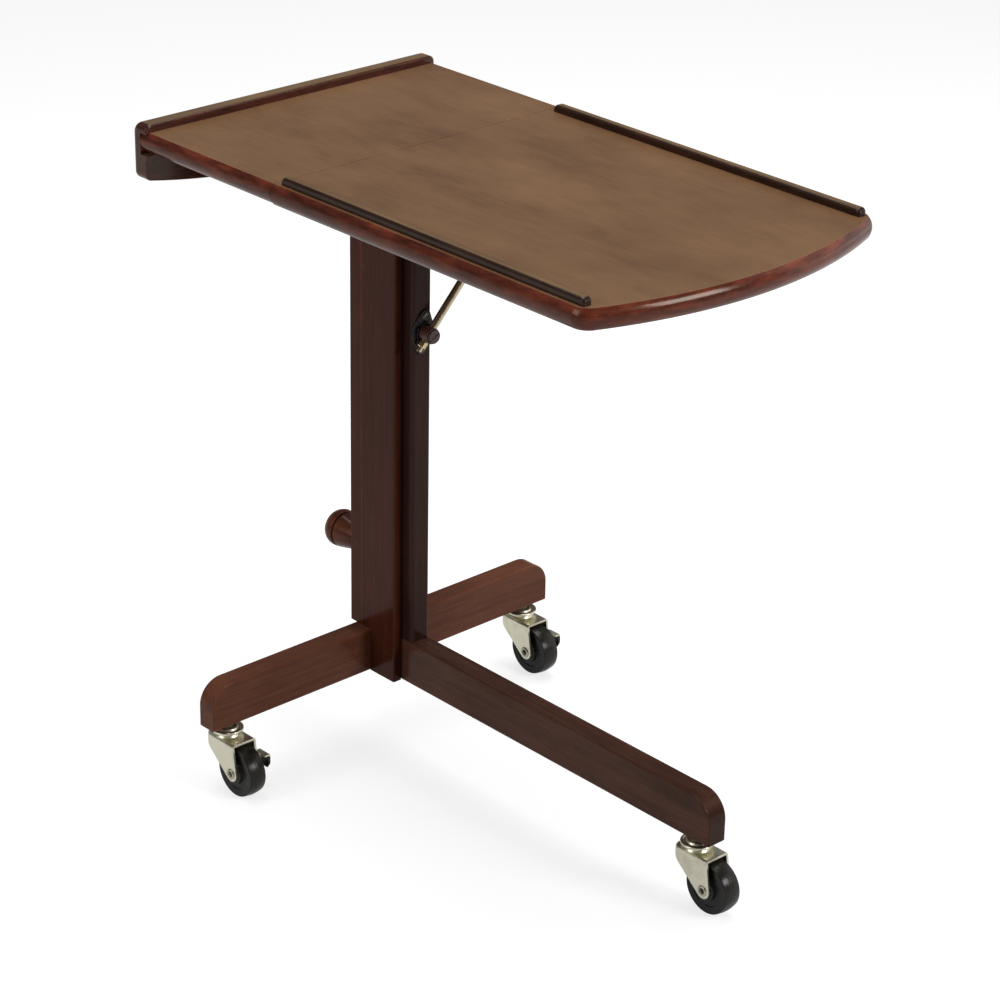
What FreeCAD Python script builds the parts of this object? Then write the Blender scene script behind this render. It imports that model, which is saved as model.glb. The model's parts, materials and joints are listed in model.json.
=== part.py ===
import FreeCAD, Part
import math
import os
import types

import Sketcher

# A pedestal writing table on a T-shaped wheeled foot. A post slides up and down in a wooden
# channel and carries a short fixed leaf and a long leaf that tilts. Millimetres, +Z up,
# X along the table from the lipped end to the bowed end, Y across it, floor at Z = 0.

doc = FreeCAD.newDocument("TypewriterTable")

# ---------------------------------------------------------------- driving dimensions

SIZES = [
    ("back_face", -216.8, "rear face of the back board, measured from the middle of the table"),
    # foot
    ("foot_clearance", 80, "floor to the underside of the cross bar and leg"),
    ("foot_height", 52, "height of the cross bar and leg"),
    ("bar_setback", 9.5, "back board's rear face to the cross bar's rear face"),
    ("bar_width", 25, "cross bar along the table"),
    ("bar_length", 494, "cross bar from end to end"),
    ("leg_length", 517.5, "leg from the cross bar to its free end"),
    ("leg_width", 25.7, "leg across the table"),
    ("foot_end_radius", 28, "rounded upper ends of the cross bar and leg"),
    ("foot_edge_radius", 2, "eased edges of the cross bar and leg"),
    ("leg_screw_radius", 4, "screws that hold the leg"),
    ("leg_screw_depth", 65, "reach of the leg screws into the leg"),
    ("leg_screw_spread", 26, "distance between the two leg screws"),
    # channel
    ("back_board_thickness", 19, "back board"),
    ("channel_width", 49, "channel across the table, outside"),
    ("channel_gap", 26, "channel across the table, inside"),
    ("side_board_depth", 55.5, "side board along the table"),
    ("head_gap", 9, "channel's top to the head blocks with the post down"),
    ("board_edge_radius", 1.5, "eased outer edges of the channel boards"),
    ("slot_width", 10.6, "slot for the clamp knob's stud"),
    ("slot_end_gap", 1, "slot beyond the stud at each end of its travel"),
    ("guide_setback", 41, "side board's rear edge to the middle of its guide strip"),
    ("guide_width", 10, "guide strip along the table"),
    ("guide_height", 5, "guide strip's stand out of its board"),
    ("guide_end_gap", 12, "channel ends to the guide strip's ends"),
    ("channel_screw_radius", 2.2, "screws through the back board"),
    ("channel_screw_length", 45, "screws through the back board"),
    ("channel_screw_margin", 28, "end screws to the ends of the channel"),
    ("plug_radius", 2.2, "wooden plugs in the channel's sides"),
    ("plug_depth", 3.5, "wooden plugs in the channel's sides"),
    ("low_plug_rise", 97, "lower plug above the foot"),
    ("high_plug_drop", 79, "upper plug below the channel's top"),
    # sliding post
    ("slide_gap", 0.3, "running clearance of sliding and turning pieces"),
    ("post_depth", 71.7, "post along the table"),
    ("post_edge_radius", 3.5, "post's rounded front edges"),
    ("post_headroom", 4, "post's top below the tilting leaf"),
    ("height_travel", 305, "how far the post rises"),
    ("fit_gap", 0.05, "radial clearance of a pin or shaft in its bore"),
    # clamp knob
    ("knob_height", 222, "knob's axis above the floor with the post down"),
    ("stud_radius", 5, "knob's threaded stud"),
    ("stud_grip", 30, "stud's reach into the knob"),
    ("stud_reach", 24, "stud's reach into the post"),
    ("insert_radius", 8, "threaded insert in the post"),
    ("insert_length", 26, "threaded insert in the post"),
    ("washer_radius", 15, "knob's washer"),
    ("washer_thickness", 2.5, "knob's washer"),
    ("knob_root_radius", 13, "knob beside its washer"),
    ("knob_taper_radius", 21, "knob at the wide end of its tapered grip"),
    ("knob_taper_length", 34, "knob's tapered grip"),
    ("knob_groove_width", 2.2, "groove between grip and cap"),
    ("knob_groove_depth", 1.6, "groove between grip and cap"),
    ("knob_cap_radius", 21.5, "knob's cap"),
    ("knob_cap_length", 13, "knob's cap up to its domed end"),
    ("knob_dome_height", 5, "domed end of the cap"),
    ("knob_flat_radius", 15, "flat middle of the cap"),
    # table top
    ("table_height", 710, "floor to the table top's upper face with the post down"),
    ("table_width", 400, "table top across"),
    ("bulge", 4.4, "swell of the rounded edges beyond the flat faces"),
    ("small_leaf_length", 216.5, "fixed leaf along the table"),
    ("small_leaf_thickness", 21, "fixed leaf"),
    ("split_gap", 0.8, "gap between the two leaves"),
    ("large_leaf_length", 489.8, "tilting leaf along the table, to the top of its bow"),
    ("large_leaf_thickness", 22, "tilting leaf"),
    ("bow_radius", 507, "bowed end of the tilting leaf"),
    ("leaf_corner_radius", 21, "corners of the tilting leaf"),
    ("rail_inset", 8, "rail's outer face to the leaf's edge"),
    ("rail_width", 11, "paper rails"),
    ("rail_height", 8, "paper rails above the table top"),
    ("rail_seat", 1.5, "paper rails let into the leaf"),
    ("rail_start", 7, "split to the near end of the rails"),
    ("rail_length", 436.4, "paper rails"),
    ("rail_start_radius", 7, "rails' ends beside the split, seen from the side"),
    ("rail_end_radius", 4.5, "rails' ends beside the bow, seen from the side"),
    ("rail_edge_radius", 3, "rails' upper edges"),
    # end lip
    ("lip_overhang", 144, "back board's rear face to the lip's outer face"),
    ("lip_thickness", 25, "end lip"),
    ("lip_groove_depth", 10.5, "groove for the fixed leaf's end"),
    ("lip_groove_slack", 4.2, "groove below the leaf"),
    ("tongue_drop", 1.5, "fixed leaf's tongue below the table top"),
    ("lip_rise", 8.5, "lip above the table top"),
    ("lip_end_height", 60.5, "lip's height at its ends"),
    ("lip_belly", 21.5, "swell of the lip's lower edge"),
    ("lip_crown_radius", 12, "lip's outer top edge"),
    ("lip_end_radius", 7.5, "lip's end and outer lower edges"),
    ("lip_edge_radius", 2.5, "lip's inner edges"),
    # head blocks
    ("block_rear", 70, "head blocks behind the back board's rear face"),
    ("block_front_gap", 2, "head blocks' front ends to the split"),
    ("block_width", 22, "head blocks across the table"),
    ("block_height", 40, "head blocks"),
    ("bolt_radius", 3, "bolts through the head blocks"),
    ("bolt_head_height", 5.5, "bolt heads and nuts"),
    ("bolt_across_flats", 10, "bolt heads and nuts"),
    ("bolt_rise", 24, "bolts above the head blocks' underside"),
    ("bolt_inset", 13, "bolts to the post's front and rear faces"),
    ("leaf_screw_radius", 2.3, "screws up into the leaves"),
    ("leaf_screw_bite", 13, "screws' reach into the leaves"),
    ("head_screw_margin", 22, "head screws to the ends of the head blocks"),
    # tilt shaft and its bearings
    ("shaft_radius", 8, "tilt shaft"),
    ("shaft_drop", 33, "tilt shaft's axis below the tilting leaf"),
    ("shaft_grip", 60, "tilt shaft's reach into the post"),
    ("shaft_pin_radius", 2.5, "pin through the post and tilt shaft"),
    ("shaft_pin_setback", 36, "pin to the post's front face"),
    ("bearing_length", 30, "bearing blocks and their feet along the table"),
    ("bearing_foot_width", 68, "feet of the bearing blocks across the table"),
    ("bearing_foot_depth", 12, "feet of the bearing blocks below the leaf"),
    ("bearing_width", 34, "bearing blocks across the table"),
    ("bearing_depth", 46, "bearing blocks below the leaf"),
    ("first_bearing", 30, "split to the first bearing block"),
    ("bearing_pitch", 267, "first to second bearing block"),
    ("bearing_screw_across", 52, "bearing screws across the table"),
    ("bearing_screw_along", 16, "bearing screws along the table"),
    ("collar_radius", 13, "shaft collars"),
    ("collar_width", 8, "shaft collars"),
    # tilt strut
    ("strut_arm", 153.5, "tilt shaft to the strut's hub, and to its pivot on the leaf"),
    ("pivot_drop", 23, "strut's pivot below the leaf"),
    ("plate_thickness", 2.5, "strut's plate"),
    ("plate_radius", 15.5, "strut's plate round the hub"),
    ("plate_end_radius", 7.5, "strut's plate round its screws"),
    ("plate_lean", 9, "lean of the strut's plate in degrees"),
    ("plate_screw_pitch", 35, "screws of the strut's plate"),
    ("plate_screw_radius", 2.5, "screws of the strut's plate"),
    ("plate_screw_length", 22, "screws of the strut's plate"),
    ("plate_screw_head", 1.8, "screw heads of the strut's plate"),
    ("hub_radius", 9, "strut's hub"),
    ("hub_length", 15, "strut's hub"),
    ("hub_collar_radius", 11, "collar at the hub's foot"),
    ("hub_collar_length", 1.9, "collar at the hub's foot"),
    ("hub_pivot_radius", 5, "pivot of the hub"),
    ("hub_pivot_reach", 2.2, "pivot of the hub beyond the plate"),
    ("rod_offset", 7.5, "hub's rear face to the strut rod's axis"),
    ("rod_radius", 4.35, "strut rod"),
    ("rod_thread_radius", 3, "threaded end of the strut rod"),
    ("rod_tail", 5, "strut rod beyond its stop nut"),
    ("stop_nut_height", 7, "stop nut"),
    ("stop_nut_across_flats", 9, "stop nut"),
    ("eye_radius", 7, "eye of the strut rod"),
    ("eye_width", 9.4, "eye of the strut rod"),
    ("pivot_pin_radius", 3, "pin in the rod's eye"),
    ("bracket_wall", 2.5, "bracket under the leaf"),
    ("bracket_length", 40, "bracket's foot across the table"),
    ("bracket_screw_pitch", 28, "screws of the bracket"),
    ("lock_screw_radius", 7.8, "head of the strut's lock screw"),
    ("lock_screw_head", 2.4, "head of the strut's lock screw"),
    ("lock_screw_slot", 1.4, "slot of the strut's lock screw"),
    ("lock_screw_shank", 4, "shank radius of the strut's lock screw"),
    # casters
    ("wheel_radius", 29.5, "caster wheels"),
    ("wheel_width", 21, "caster wheels"),
    ("wheel_crown", 3, "fall of the tread at its edges"),
    ("wheel_flat", 8, "flat middle of the tread"),
    ("wheel_rim", 7.5, "rim of the wheel's side"),
    ("wheel_dish", 1.5, "hollow of the wheel's side"),
    ("hub_boss_radius", 12, "wheel's hub"),
    ("bush_radius", 6, "bush in the wheel"),
    ("axle_radius", 4, "hollow axle rivet"),
    ("axle_bore", 2.5, "bore of the axle rivet"),
    ("axle_head_radius", 6.5, "heads of the axle rivet"),
    ("axle_head", 1.4, "heads of the axle rivet"),
    ("trail", 25, "axle behind the swivel axis"),
    ("fork_width", 32, "fork, outside"),
    ("fork_wall", 2.5, "fork's sheet"),
    ("fork_top", 65, "floor to the fork's upper face"),
    ("fork_front", 29, "fork's front edge ahead of the swivel axis"),
    ("fork_rear", 21.5, "fork's rear edge behind the swivel axis"),
    ("fork_rear_height", 8, "fork's rear edge"),
    ("fork_fold_radius", 3, "folds of the fork"),
    ("fork_corner_radius", 11, "fork's rear corners, seen from above"),
    ("fork_boss_radius", 9, "fork around the axle"),
    ("seat_radius", 14.5, "raised seat on the fork, at its foot"),
    ("seat_top_radius", 11.5, "raised seat on the fork, at its top"),
    ("seat_height", 4.4, "raised seat on the fork"),
    ("race_radius", 18, "swivel race"),
    ("race_height", 4.6, "swivel race"),
    ("race_rim", 2.6, "rolled rim of the swivel race"),
    ("race_top_radius", 11, "swivel race, at its top"),
    ("nut_across_flats", 16, "nut of the caster stem"),
    ("stem_radius", 6, "caster stem in the wood"),
    ("stem_depth", 38, "caster stem's reach into the wood"),
    ("journal_radius", 5, "caster stem in the fork"),
    ("rivet_radius", 8, "head of the stem under the fork's plate"),
    ("rivet_height", 3.5, "head of the stem under the fork's plate"),
    ("side_stem_inset", 28.2, "cross bar's ends to the stems"),
    ("front_stem_inset", 26.6, "leg's free end to its stem"),
    # brake pedals
    ("pedal_reach", 15, "pedal beyond the fork"),
    ("pedal_length", 18, "pedal's plate along the fork"),
    ("pedal_start", 18, "swivel axis to the pedal's plate"),
    ("pedal_top", 42, "floor to the pedal's upper face"),
    ("pedal_fall", 16, "pedal's curled edge"),
    ("pedal_sheet", 2.2, "pedal's sheet"),
    ("pedal_bend", 5, "pedal's outer bend"),
    ("pedal_pivot_radius", 1.5, "pedal's trunnions"),
    ("pedal_barrel_radius", 3, "pedal's barrel"),
    ("pedal_pivot_out", 3.7, "pedal's pivot beyond the fork"),
    ("pedal_nose", 3.6, "pedal's nose below its pivot"),
    ("lug_start", 20, "swivel axis to the pedal's lugs"),
    ("lug_spread", 10, "pedal's lugs, outside to outside"),
    ("lug_wall", 2, "lugs beside the pedal"),
    ("lug_radius", 3.4, "lugs beside the pedal"),
]

sheet = doc.addObject("Spreadsheet::Sheet", "Sizes")
for row, (alias, number, meaning) in enumerate(SIZES, start=1):
    sheet.set(f"A{row}", meaning)
    sheet.set(f"B{row}", str(number))
    sheet.setAlias(f"B{row}", alias)
doc.recompute()


class Size:
    """A length that knows its sheet expression, its present number, and how to add up."""

    def __init__(self, text, number):
        self.text = text
        self.number = float(number)

    def __add__(self, other):
        other = as_size(other)
        return Size(f"({self.text} + {other.text})", self.number + other.number)

    def __sub__(self, other):
        other = as_size(other)
        return Size(f"({self.text} - {other.text})", self.number - other.number)

    def __mul__(self, other):
        other = as_size(other)
        return Size(f"({self.text} * {other.text})", self.number * other.number)

    def __truediv__(self, other):
        other = as_size(other)
        return Size(f"({self.text} / {other.text})", self.number / other.number)

    def __neg__(self):
        return Size(f"(0 - {self.text})", -self.number)

    def __radd__(self, other):
        return as_size(other) + self

    def __rsub__(self, other):
        return as_size(other) - self

    def __rmul__(self, other):
        return as_size(other) * self


def as_size(value):
    return value if isinstance(value, Size) else Size(repr(value), value)


def root(size):
    return Size(f"sqrt({size.text})", math.sqrt(size.number))


s = types.SimpleNamespace(**{alias: Size(f"Sizes.{alias}", sheet.get(alias)) for alias, *_ in SIZES})

# ---------------------------------------------------------------- ways to build a piece

TURNS = {
    "X": FreeCAD.Rotation(FreeCAD.Vector(0, 1, 0), 90),
    "Y": FreeCAD.Rotation(FreeCAD.Vector(1, 0, 0), -90),
    "Z": FreeCAD.Rotation(),
}
CLOSE = 1e-4
nodes = []


def node(name, thing):
    """Name a finished piece, which is written to a file of that name."""
    thing.Label = name
    nodes.append(thing)
    return thing


def bind(thing, slot, size):
    thing.setExpression(slot, as_size(size).text)


def place(thing, x, y, z):
    for letter, size in zip("xyz", (x, y, z)):
        bind(thing, f"Placement.Base.{letter}", size)
    return thing


def block(name, x, y, z):
    """A box between a low and a high value along X, Y and Z."""
    solid = doc.addObject("Part::Box", name)
    for slot, (low, high) in zip(("Length", "Width", "Height"), (x, y, z)):
        bind(solid, slot, high - low)
    return place(solid, x[0], y[0], z[0])


def along(solid, axis, centre, start):
    """Turn a solid built along Z onto an axis, with its foot at start."""
    solid.Placement = FreeCAD.Placement(FreeCAD.Vector(), TURNS[axis])
    foot = list(centre)
    foot.insert("XYZ".index(axis), start)
    return place(solid, *foot)


def rod(name, axis, centre, span, radius):
    solid = doc.addObject("Part::Cylinder", name)
    bind(solid, "Radius", radius)
    bind(solid, "Height", span[1] - span[0])
    return along(solid, axis, centre, span[0])


def cone(name, axis, centre, span, radii):
    solid = doc.addObject("Part::Cone", name)
    bind(solid, "Radius1", radii[0])
    bind(solid, "Radius2", radii[1])
    bind(solid, "Height", span[1] - span[0])
    return along(solid, axis, centre, span[0])


def hexagon(name, axis, centre, span, across_flats):
    solid = doc.addObject("Part::Prism", name)
    solid.Polygon = 6
    bind(solid, "Circumradius", across_flats / root(as_size(3)))
    bind(solid, "Height", span[1] - span[0])
    return along(solid, axis, centre, span[0])


def fuse(name, *pieces):
    joined = doc.addObject("Part::MultiFuse", name)
    joined.Shapes = list(pieces)
    joined.Refine = True
    return joined


def common(name, *pieces):
    shared = doc.addObject("Part::MultiCommon", name)
    shared.Shapes = list(pieces)
    shared.Refine = True
    return shared


def bundle(name, pieces):
    """Several like solids, such as a set of screws, in one compound."""
    group = doc.addObject("Part::Compound", name)
    group.Links = list(pieces)
    return group


def cut(name, base, *tools):
    """Take the tools out of the base, one after the other."""
    for number, tool in enumerate(tools):
        rest = doc.addObject("Part::Cut", f"{name}_cut{number}")
        rest.Base = base
        rest.Tool = tool
        base = rest
    return base


def countersunk(name, axis, centre, mouth, tip, radius):
    """A countersunk screw from its flush head at mouth to its tip further along the axis."""
    shank = rod(f"{name}_shank", axis, centre, (mouth, tip), radius)
    head = cone(f"{name}_head", axis, centre, (mouth, mouth + radius), (2 * radius, radius))
    return fuse(name, shank, head)


def new_body(name):
    return doc.addObject("PartDesign::Body", name)


def new_sketch(body, name, role, offset):
    """A sketch on one of the body's own origin planes, moved along that plane's normal."""
    sketch = body.newObject("Sketcher::SketchObject", name)
    plane = next(part for part in body.Origin.OriginFeatures if part.Role == role)
    sketch.AttachmentSupport = [(plane, "")]
    sketch.MapMode = "FlatFace"
    bind(sketch, "AttachmentOffset.Base.z", offset)
    return sketch


def arc_between(start, end, radius, turn):
    """The shorter arc from start to end; turn is 1 where it bends left and -1 where right."""
    chord = end - start
    rise = math.sqrt(max(radius ** 2 - chord.Length ** 2 / 4, 0))
    left = FreeCAD.Vector(-chord.y, chord.x, 0).normalize()
    centre = (start + end) / 2 + left * rise * turn
    angles = [math.atan2(spot.y - centre.y, spot.x - centre.x) for spot in (start, end)]
    circle = Part.Circle(centre, FreeCAD.Vector(0, 0, 1), radius)
    return Part.ArcOfCircle(circle, *angles[::turn])


def draw(sketch, corners, arcs=None, closed=True):
    """Draw a fully tied outline. arcs maps the number of a side to its (radius, turn)."""
    arcs = arcs or {}
    corners = [(as_size(x), as_size(y)) for x, y in corners]
    spots = [FreeCAD.Vector(x.number, y.number, 0) for x, y in corners]
    sides = len(spots) if closed else len(spots) - 1
    for side in range(sides):
        start = spots[side]
        end = spots[(side + 1) % len(spots)]
        if side in arcs:
            radius, turn = arcs[side]
            sketch.addGeometry(arc_between(start, end, as_size(radius).number, turn))
        else:
            sketch.addGeometry(Part.LineSegment(start, end))
    first = [2 if side in arcs and arcs[side][1] < 0 else 1 for side in range(sides)]
    for side in range(sides if closed else sides - 1):
        other = (side + 1) % sides
        sketch.addConstraint(Sketcher.Constraint("Coincident", side, 3 - first[side], other, first[other]))
    for number, (x, y) in enumerate(corners):
        side, point = (number, first[number]) if number < sides else (sides - 1, 3 - first[-1])
        for kind, size in (("DistanceX", x), ("DistanceY", y)):
            tie = sketch.addConstraint(Sketcher.Constraint(kind, -1, 1, side, point, size.number))
            sketch.setExpression(f"Constraints[{tie}]", size.text)
    for side, (radius, _) in arcs.items():
        radius = as_size(radius)
        tie = sketch.addConstraint(Sketcher.Constraint("Radius", side, radius.number))
        sketch.setExpression(f"Constraints[{tie}]", radius.text)


def rectangle(x, y):
    return [(x[0], y[0]), (x[1], y[0]), (x[1], y[1]), (x[0], y[1])]


def pad(body, name, sketch, length):
    feature = body.newObject("PartDesign::Pad", name)
    feature.Profile = sketch
    bind(feature, "Length", length)
    doc.recompute()
    return feature


def slab(body, name, role, corners, span, arcs=None):
    """Pad an outline between the two ends of a span along its plane's normal."""
    low, high = (as_size(value) for value in span)
    sketch = new_sketch(body, f"{name}_outline", role, -high if role == "XZ_Plane" else low)
    draw(sketch, corners, arcs)
    return pad(body, f"{name}_pad", sketch, high - low)


def hollow(body, name, role, corners, span, arcs=None):
    """Pocket an outline between the two ends of a span along its plane's normal."""
    low, high = (as_size(value) for value in span)
    whole = body.Shape.Volume
    sketch = new_sketch(body, f"{name}_outline", role, -low if role == "XZ_Plane" else high)
    draw(sketch, corners, arcs)
    feature = body.newObject("PartDesign::Pocket", f"{name}_pocket")
    feature.Profile = sketch
    bind(feature, "Length", high - low)
    doc.recompute()
    if body.Shape.Volume >= whole:
        raise RuntimeError(f"{name} takes nothing away")
    return feature


def turned(body, name, role, corners, axis, arcs=None):
    """Turn a profile about a sketch axis that runs through the body's origin."""
    sketch = new_sketch(body, f"{name}_profile", role, 0)
    draw(sketch, corners, arcs)
    feature = body.newObject("PartDesign::Revolution", f"{name}_turned")
    feature.Profile = sketch
    feature.ReferenceAxis = (sketch, [axis])
    feature.Angle = 360
    doc.recompute()
    return feature


def rounded(body, name, radius, wanted):
    """Round the edges of the body's present shape that wanted picks."""
    base = body.Tip
    picked = [f"Edge{number}" for number, edge in enumerate(base.Shape.Edges, start=1) if wanted(edge)]
    feature = body.newObject("PartDesign::Fillet", name)
    feature.Base = (base, picked)
    bind(feature, "Radius", radius)
    doc.recompute()
    return feature


def lies_at(edge, axis, size):
    """Whether the whole edge lies in the plane where the axis has this value."""
    box = edge.BoundBox
    low, high = {"X": (box.XMin, box.XMax), "Y": (box.YMin, box.YMax), "Z": (box.ZMin, box.ZMax)}[axis]
    value = as_size(size).number
    return abs(low - value) < CLOSE and abs(high - value) < CLOSE


def runs_along(edge, axis):
    """Whether the edge is straight and parallel to the axis."""
    box = edge.BoundBox
    spans = {"X": box.XLength, "Y": box.YLength, "Z": box.ZLength}
    return spans[axis] > CLOSE and sum(spans.values()) - spans[axis] < 3 * CLOSE


# ---------------------------------------------------------------- shared levels and places

foot_bottom = s.foot_clearance
foot_top = foot_bottom + s.foot_height
bar_rear = s.back_face + s.bar_setback
bar_front = bar_rear + s.bar_width
bar_half = s.bar_length / 2
leg_end = bar_front + s.leg_length
leg_half = s.leg_width / 2

channel_half = s.channel_width / 2
gap_half = s.channel_gap / 2
back_front = s.back_face + s.back_board_thickness
sides_front = back_front + s.side_board_depth
guide_middle = back_front + s.guide_setback

post_rear = back_front + s.slide_gap
post_front = post_rear + s.post_depth
post_half = gap_half - s.slide_gap
post_bottom = foot_top + s.slide_gap

lip_outer = s.back_face - s.lip_overhang
lip_inner = lip_outer + s.lip_thickness
small_leaf_rear = lip_inner - s.lip_groove_depth
split = small_leaf_rear + s.small_leaf_length
large_leaf_rear = split + s.split_gap
leaf_apex = large_leaf_rear + s.large_leaf_length
small_leaf_bottom = s.table_height - s.small_leaf_thickness
large_leaf_bottom = s.table_height - s.large_leaf_thickness
table_half = s.table_width / 2
post_top = large_leaf_bottom - s.post_headroom

block_bottom = small_leaf_bottom - s.block_height
block_outer = post_half + s.block_width
shaft_level = large_leaf_bottom - s.shaft_drop
hub_level = shaft_level - s.strut_arm
channel_top = block_bottom - s.head_gap

plate_front = post_front + s.plate_thickness
hub_rear = plate_front + s.slide_gap
hub_front = hub_rear + s.hub_length
rod_plane = hub_rear + s.rod_offset
pivot_level = large_leaf_bottom - s.pivot_drop
pivot_across = root(s.strut_arm * s.strut_arm - (pivot_level - shaft_level) * (pivot_level - shaft_level))

SIDES = {"near": -1, "far": 1}


def across(side, low, high):
    """The span across the table, between two distances from its middle, on one side."""
    return (low, high) if SIDES[side] > 0 else (-high, -low)


# ---------------------------------------------------------------- foot

stems = {
    "near": (bar_rear + s.bar_width / 2, s.side_stem_inset - bar_half),
    "far": (bar_rear + s.bar_width / 2, bar_half - s.side_stem_inset),
    "front": (leg_end - s.front_stem_inset, as_size(0)),
}
plate_bottom = s.fork_top - s.fork_wall
race_bottom = s.fork_top + s.seat_height + s.slide_gap
race_top = race_bottom + s.race_height


def caster_stem(name, x, y):
    """Threaded stem with its nut against the wood and a riveted head under the fork's plate."""
    thread = rod(f"{name}_thread", "Z", (x, y), (race_bottom, foot_bottom + s.stem_depth), s.stem_radius)
    journal_foot = plate_bottom - s.slide_gap - s.rivet_height
    journal = rod(f"{name}_journal", "Z", (x, y), (journal_foot, race_bottom), s.journal_radius)
    head_span = (journal_foot, plate_bottom - s.slide_gap)
    head = rod(f"{name}_rivet", "Z", (x, y), head_span, s.rivet_radius)
    nut = hexagon(f"{name}_nut", "Z", (x, y), (race_top, foot_bottom), s.nut_across_flats)
    return node(name, fuse(f"{name}_whole", thread, journal, head, nut))


def caster_race(name, x, y):
    """Shouldered ring that holds the swivel's balls."""
    body = new_body(f"{name}_body")
    rim = s.race_rim / 2
    corners = [
        (s.stem_radius, race_bottom),
        (s.race_radius - rim, race_bottom),
        (s.race_radius - rim, race_bottom + s.race_rim),
        (s.race_top_radius, race_top),
        (s.stem_radius, race_top),
    ]
    turned(body, name, "XZ_Plane", corners, "V_Axis", {1: (rim, 1)})
    return node(name, place(body, x, y, 0))


caster_stems = {end: caster_stem(f"caster_stem_{end}", *stems[end]) for end in stems}
for end in stems:
    caster_race(f"caster_race_{end}", *stems[end])

leg_screws = []
for sign in (-1, 1):
    level = foot_bottom + s.foot_height / 2 + sign * s.leg_screw_spread / 2
    tip = bar_front + s.leg_screw_depth
    name = f"leg_screw_{len(leg_screws) + 1}"
    leg_screws.append(countersunk(name, "X", (0, level), bar_rear, tip, s.leg_screw_radius))
leg_screws = node("leg_screws", bundle("leg_screw_set", leg_screws))

bar = new_body("bar_body")
slab(bar, "bar", "XY_Plane", rectangle((bar_rear, bar_front), (-bar_half, bar_half)), (foot_bottom, foot_top))
rounded(bar, "bar_ends", s.foot_end_radius, lambda edge: lies_at(edge, "Z", foot_top) and runs_along(edge, "X"))
rounded(bar, "bar_edges", s.foot_edge_radius, lambda edge: not runs_along(edge, "X"))
node("cross_bar", cut("bar", bar, leg_screws, caster_stems["near"], caster_stems["far"]))

leg = new_body("leg_body")
slab(leg, "leg", "XY_Plane", rectangle((bar_front, leg_end), (-leg_half, leg_half)), (foot_bottom, foot_top))
rounded(leg, "leg_end", s.foot_end_radius, lambda edge: lies_at(edge, "Z", foot_top) and lies_at(edge, "X", leg_end))
rounded(
    leg, "leg_edges", s.foot_edge_radius,
    lambda edge: not runs_along(edge, "Y") and not lies_at(edge, "X", bar_front),
)
node("leg", cut("leg", leg, leg_screws, caster_stems["front"]))

# ---------------------------------------------------------------- channel

SCREWS_PER_SIDE = 4
first_screw = foot_top + s.channel_screw_margin
screw_pitch = (channel_top - foot_top - 2 * s.channel_screw_margin) / (SCREWS_PER_SIDE - 1)
screws = {side: [] for side in SIDES}
for side, sign in SIDES.items():
    for number in range(SCREWS_PER_SIDE):
        spot = (sign * (channel_half + gap_half) / 2, first_screw + number * screw_pitch)
        span = (s.back_face, s.back_face + s.channel_screw_length)
        name = f"channel_screw_{side}_{number + 1}"
        screws[side].append(countersunk(name, "X", spot, *span, s.channel_screw_radius))
side_screws = {side: bundle(f"channel_screws_{side}", screws[side]) for side in SIDES}
node("channel_screws", bundle("channel_screw_set", screws["near"] + screws["far"]))

plug_spots = {
    "low": (s.back_face + s.back_board_thickness / 2, foot_top + s.low_plug_rise),
    "high": (back_front + s.plug_radius * 2, channel_top - s.high_plug_drop),
}
plugs = {
    (side, spot): rod(
        f"plug_{side}_{spot}", "Y", plug_spots[spot],
        across(side, channel_half - s.plug_depth, channel_half), s.plug_radius,
    )
    for side in SIDES for spot in plug_spots
}
node("channel_plugs", bundle("channel_plug_set", plugs.values()))

back = new_body("back_board_body")
slab(
    back, "back_board", "XY_Plane",
    rectangle((s.back_face, back_front), (-channel_half, channel_half)), (foot_top, channel_top),
)
rounded(
    back, "back_board_edges", s.board_edge_radius,
    lambda edge: lies_at(edge, "X", s.back_face) and runs_along(edge, "Z"),
)
slot_half = s.slot_width / 2
slot_low = s.knob_height - s.slot_end_gap
slot_high = s.knob_height + s.height_travel + s.slot_end_gap
slot_x = (s.back_face, back_front)
slot = fuse(
    "slot",
    block("slot_middle", slot_x, (-slot_half, slot_half), (slot_low, slot_high)),
    rod("slot_low_end", "X", (0, slot_low), slot_x, slot_half),
    rod("slot_high_end", "X", (0, slot_high), slot_x, slot_half),
)
back_plugs = [plugs[side, "low"] for side in SIDES]
node("back_board", cut("back_board", back, slot, side_screws["near"], side_screws["far"], *back_plugs))

for side in SIDES:
    # Each side board straddles the leg's root and is notched around the cross bar.
    body = new_body(f"side_board_{side}_body")
    corners = [
        (back_front, foot_top),
        (bar_front, foot_top),
        (bar_front, foot_bottom),
        (sides_front, foot_bottom),
        (sides_front, channel_top),
        (back_front, channel_top),
    ]
    slab(body, f"side_board_{side}", "XZ_Plane", corners, across(side, gap_half, channel_half))
    rounded(
        body, f"side_board_{side}_edges", s.board_edge_radius,
        lambda edge: lies_at(edge, "X", sides_front) and runs_along(edge, "Z"),
    )
    board = cut(f"side_board_{side}", body, side_screws[side], plugs[side, "high"])
    node(f"side_board_{side}", board)
    guide_x = (guide_middle - s.guide_width / 2, guide_middle + s.guide_width / 2)
    guide_z = (foot_top + s.guide_end_gap, channel_top - s.guide_end_gap)
    guide_y = across(side, gap_half - s.guide_height, gap_half)
    node(f"guide_strip_{side}", block(f"guide_{side}", guide_x, guide_y, guide_z))

# ---------------------------------------------------------------- sliding post and head

insert_end = post_rear + s.insert_length
insert_body = rod("insert_barrel", "X", (0, s.knob_height), (post_rear, insert_end), s.insert_radius)
insert_bore = rod("insert_bore", "X", (0, s.knob_height), (post_rear, insert_end), s.stud_radius + s.fit_gap)
node("post_insert", cut("post_insert", insert_body, insert_bore))

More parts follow.
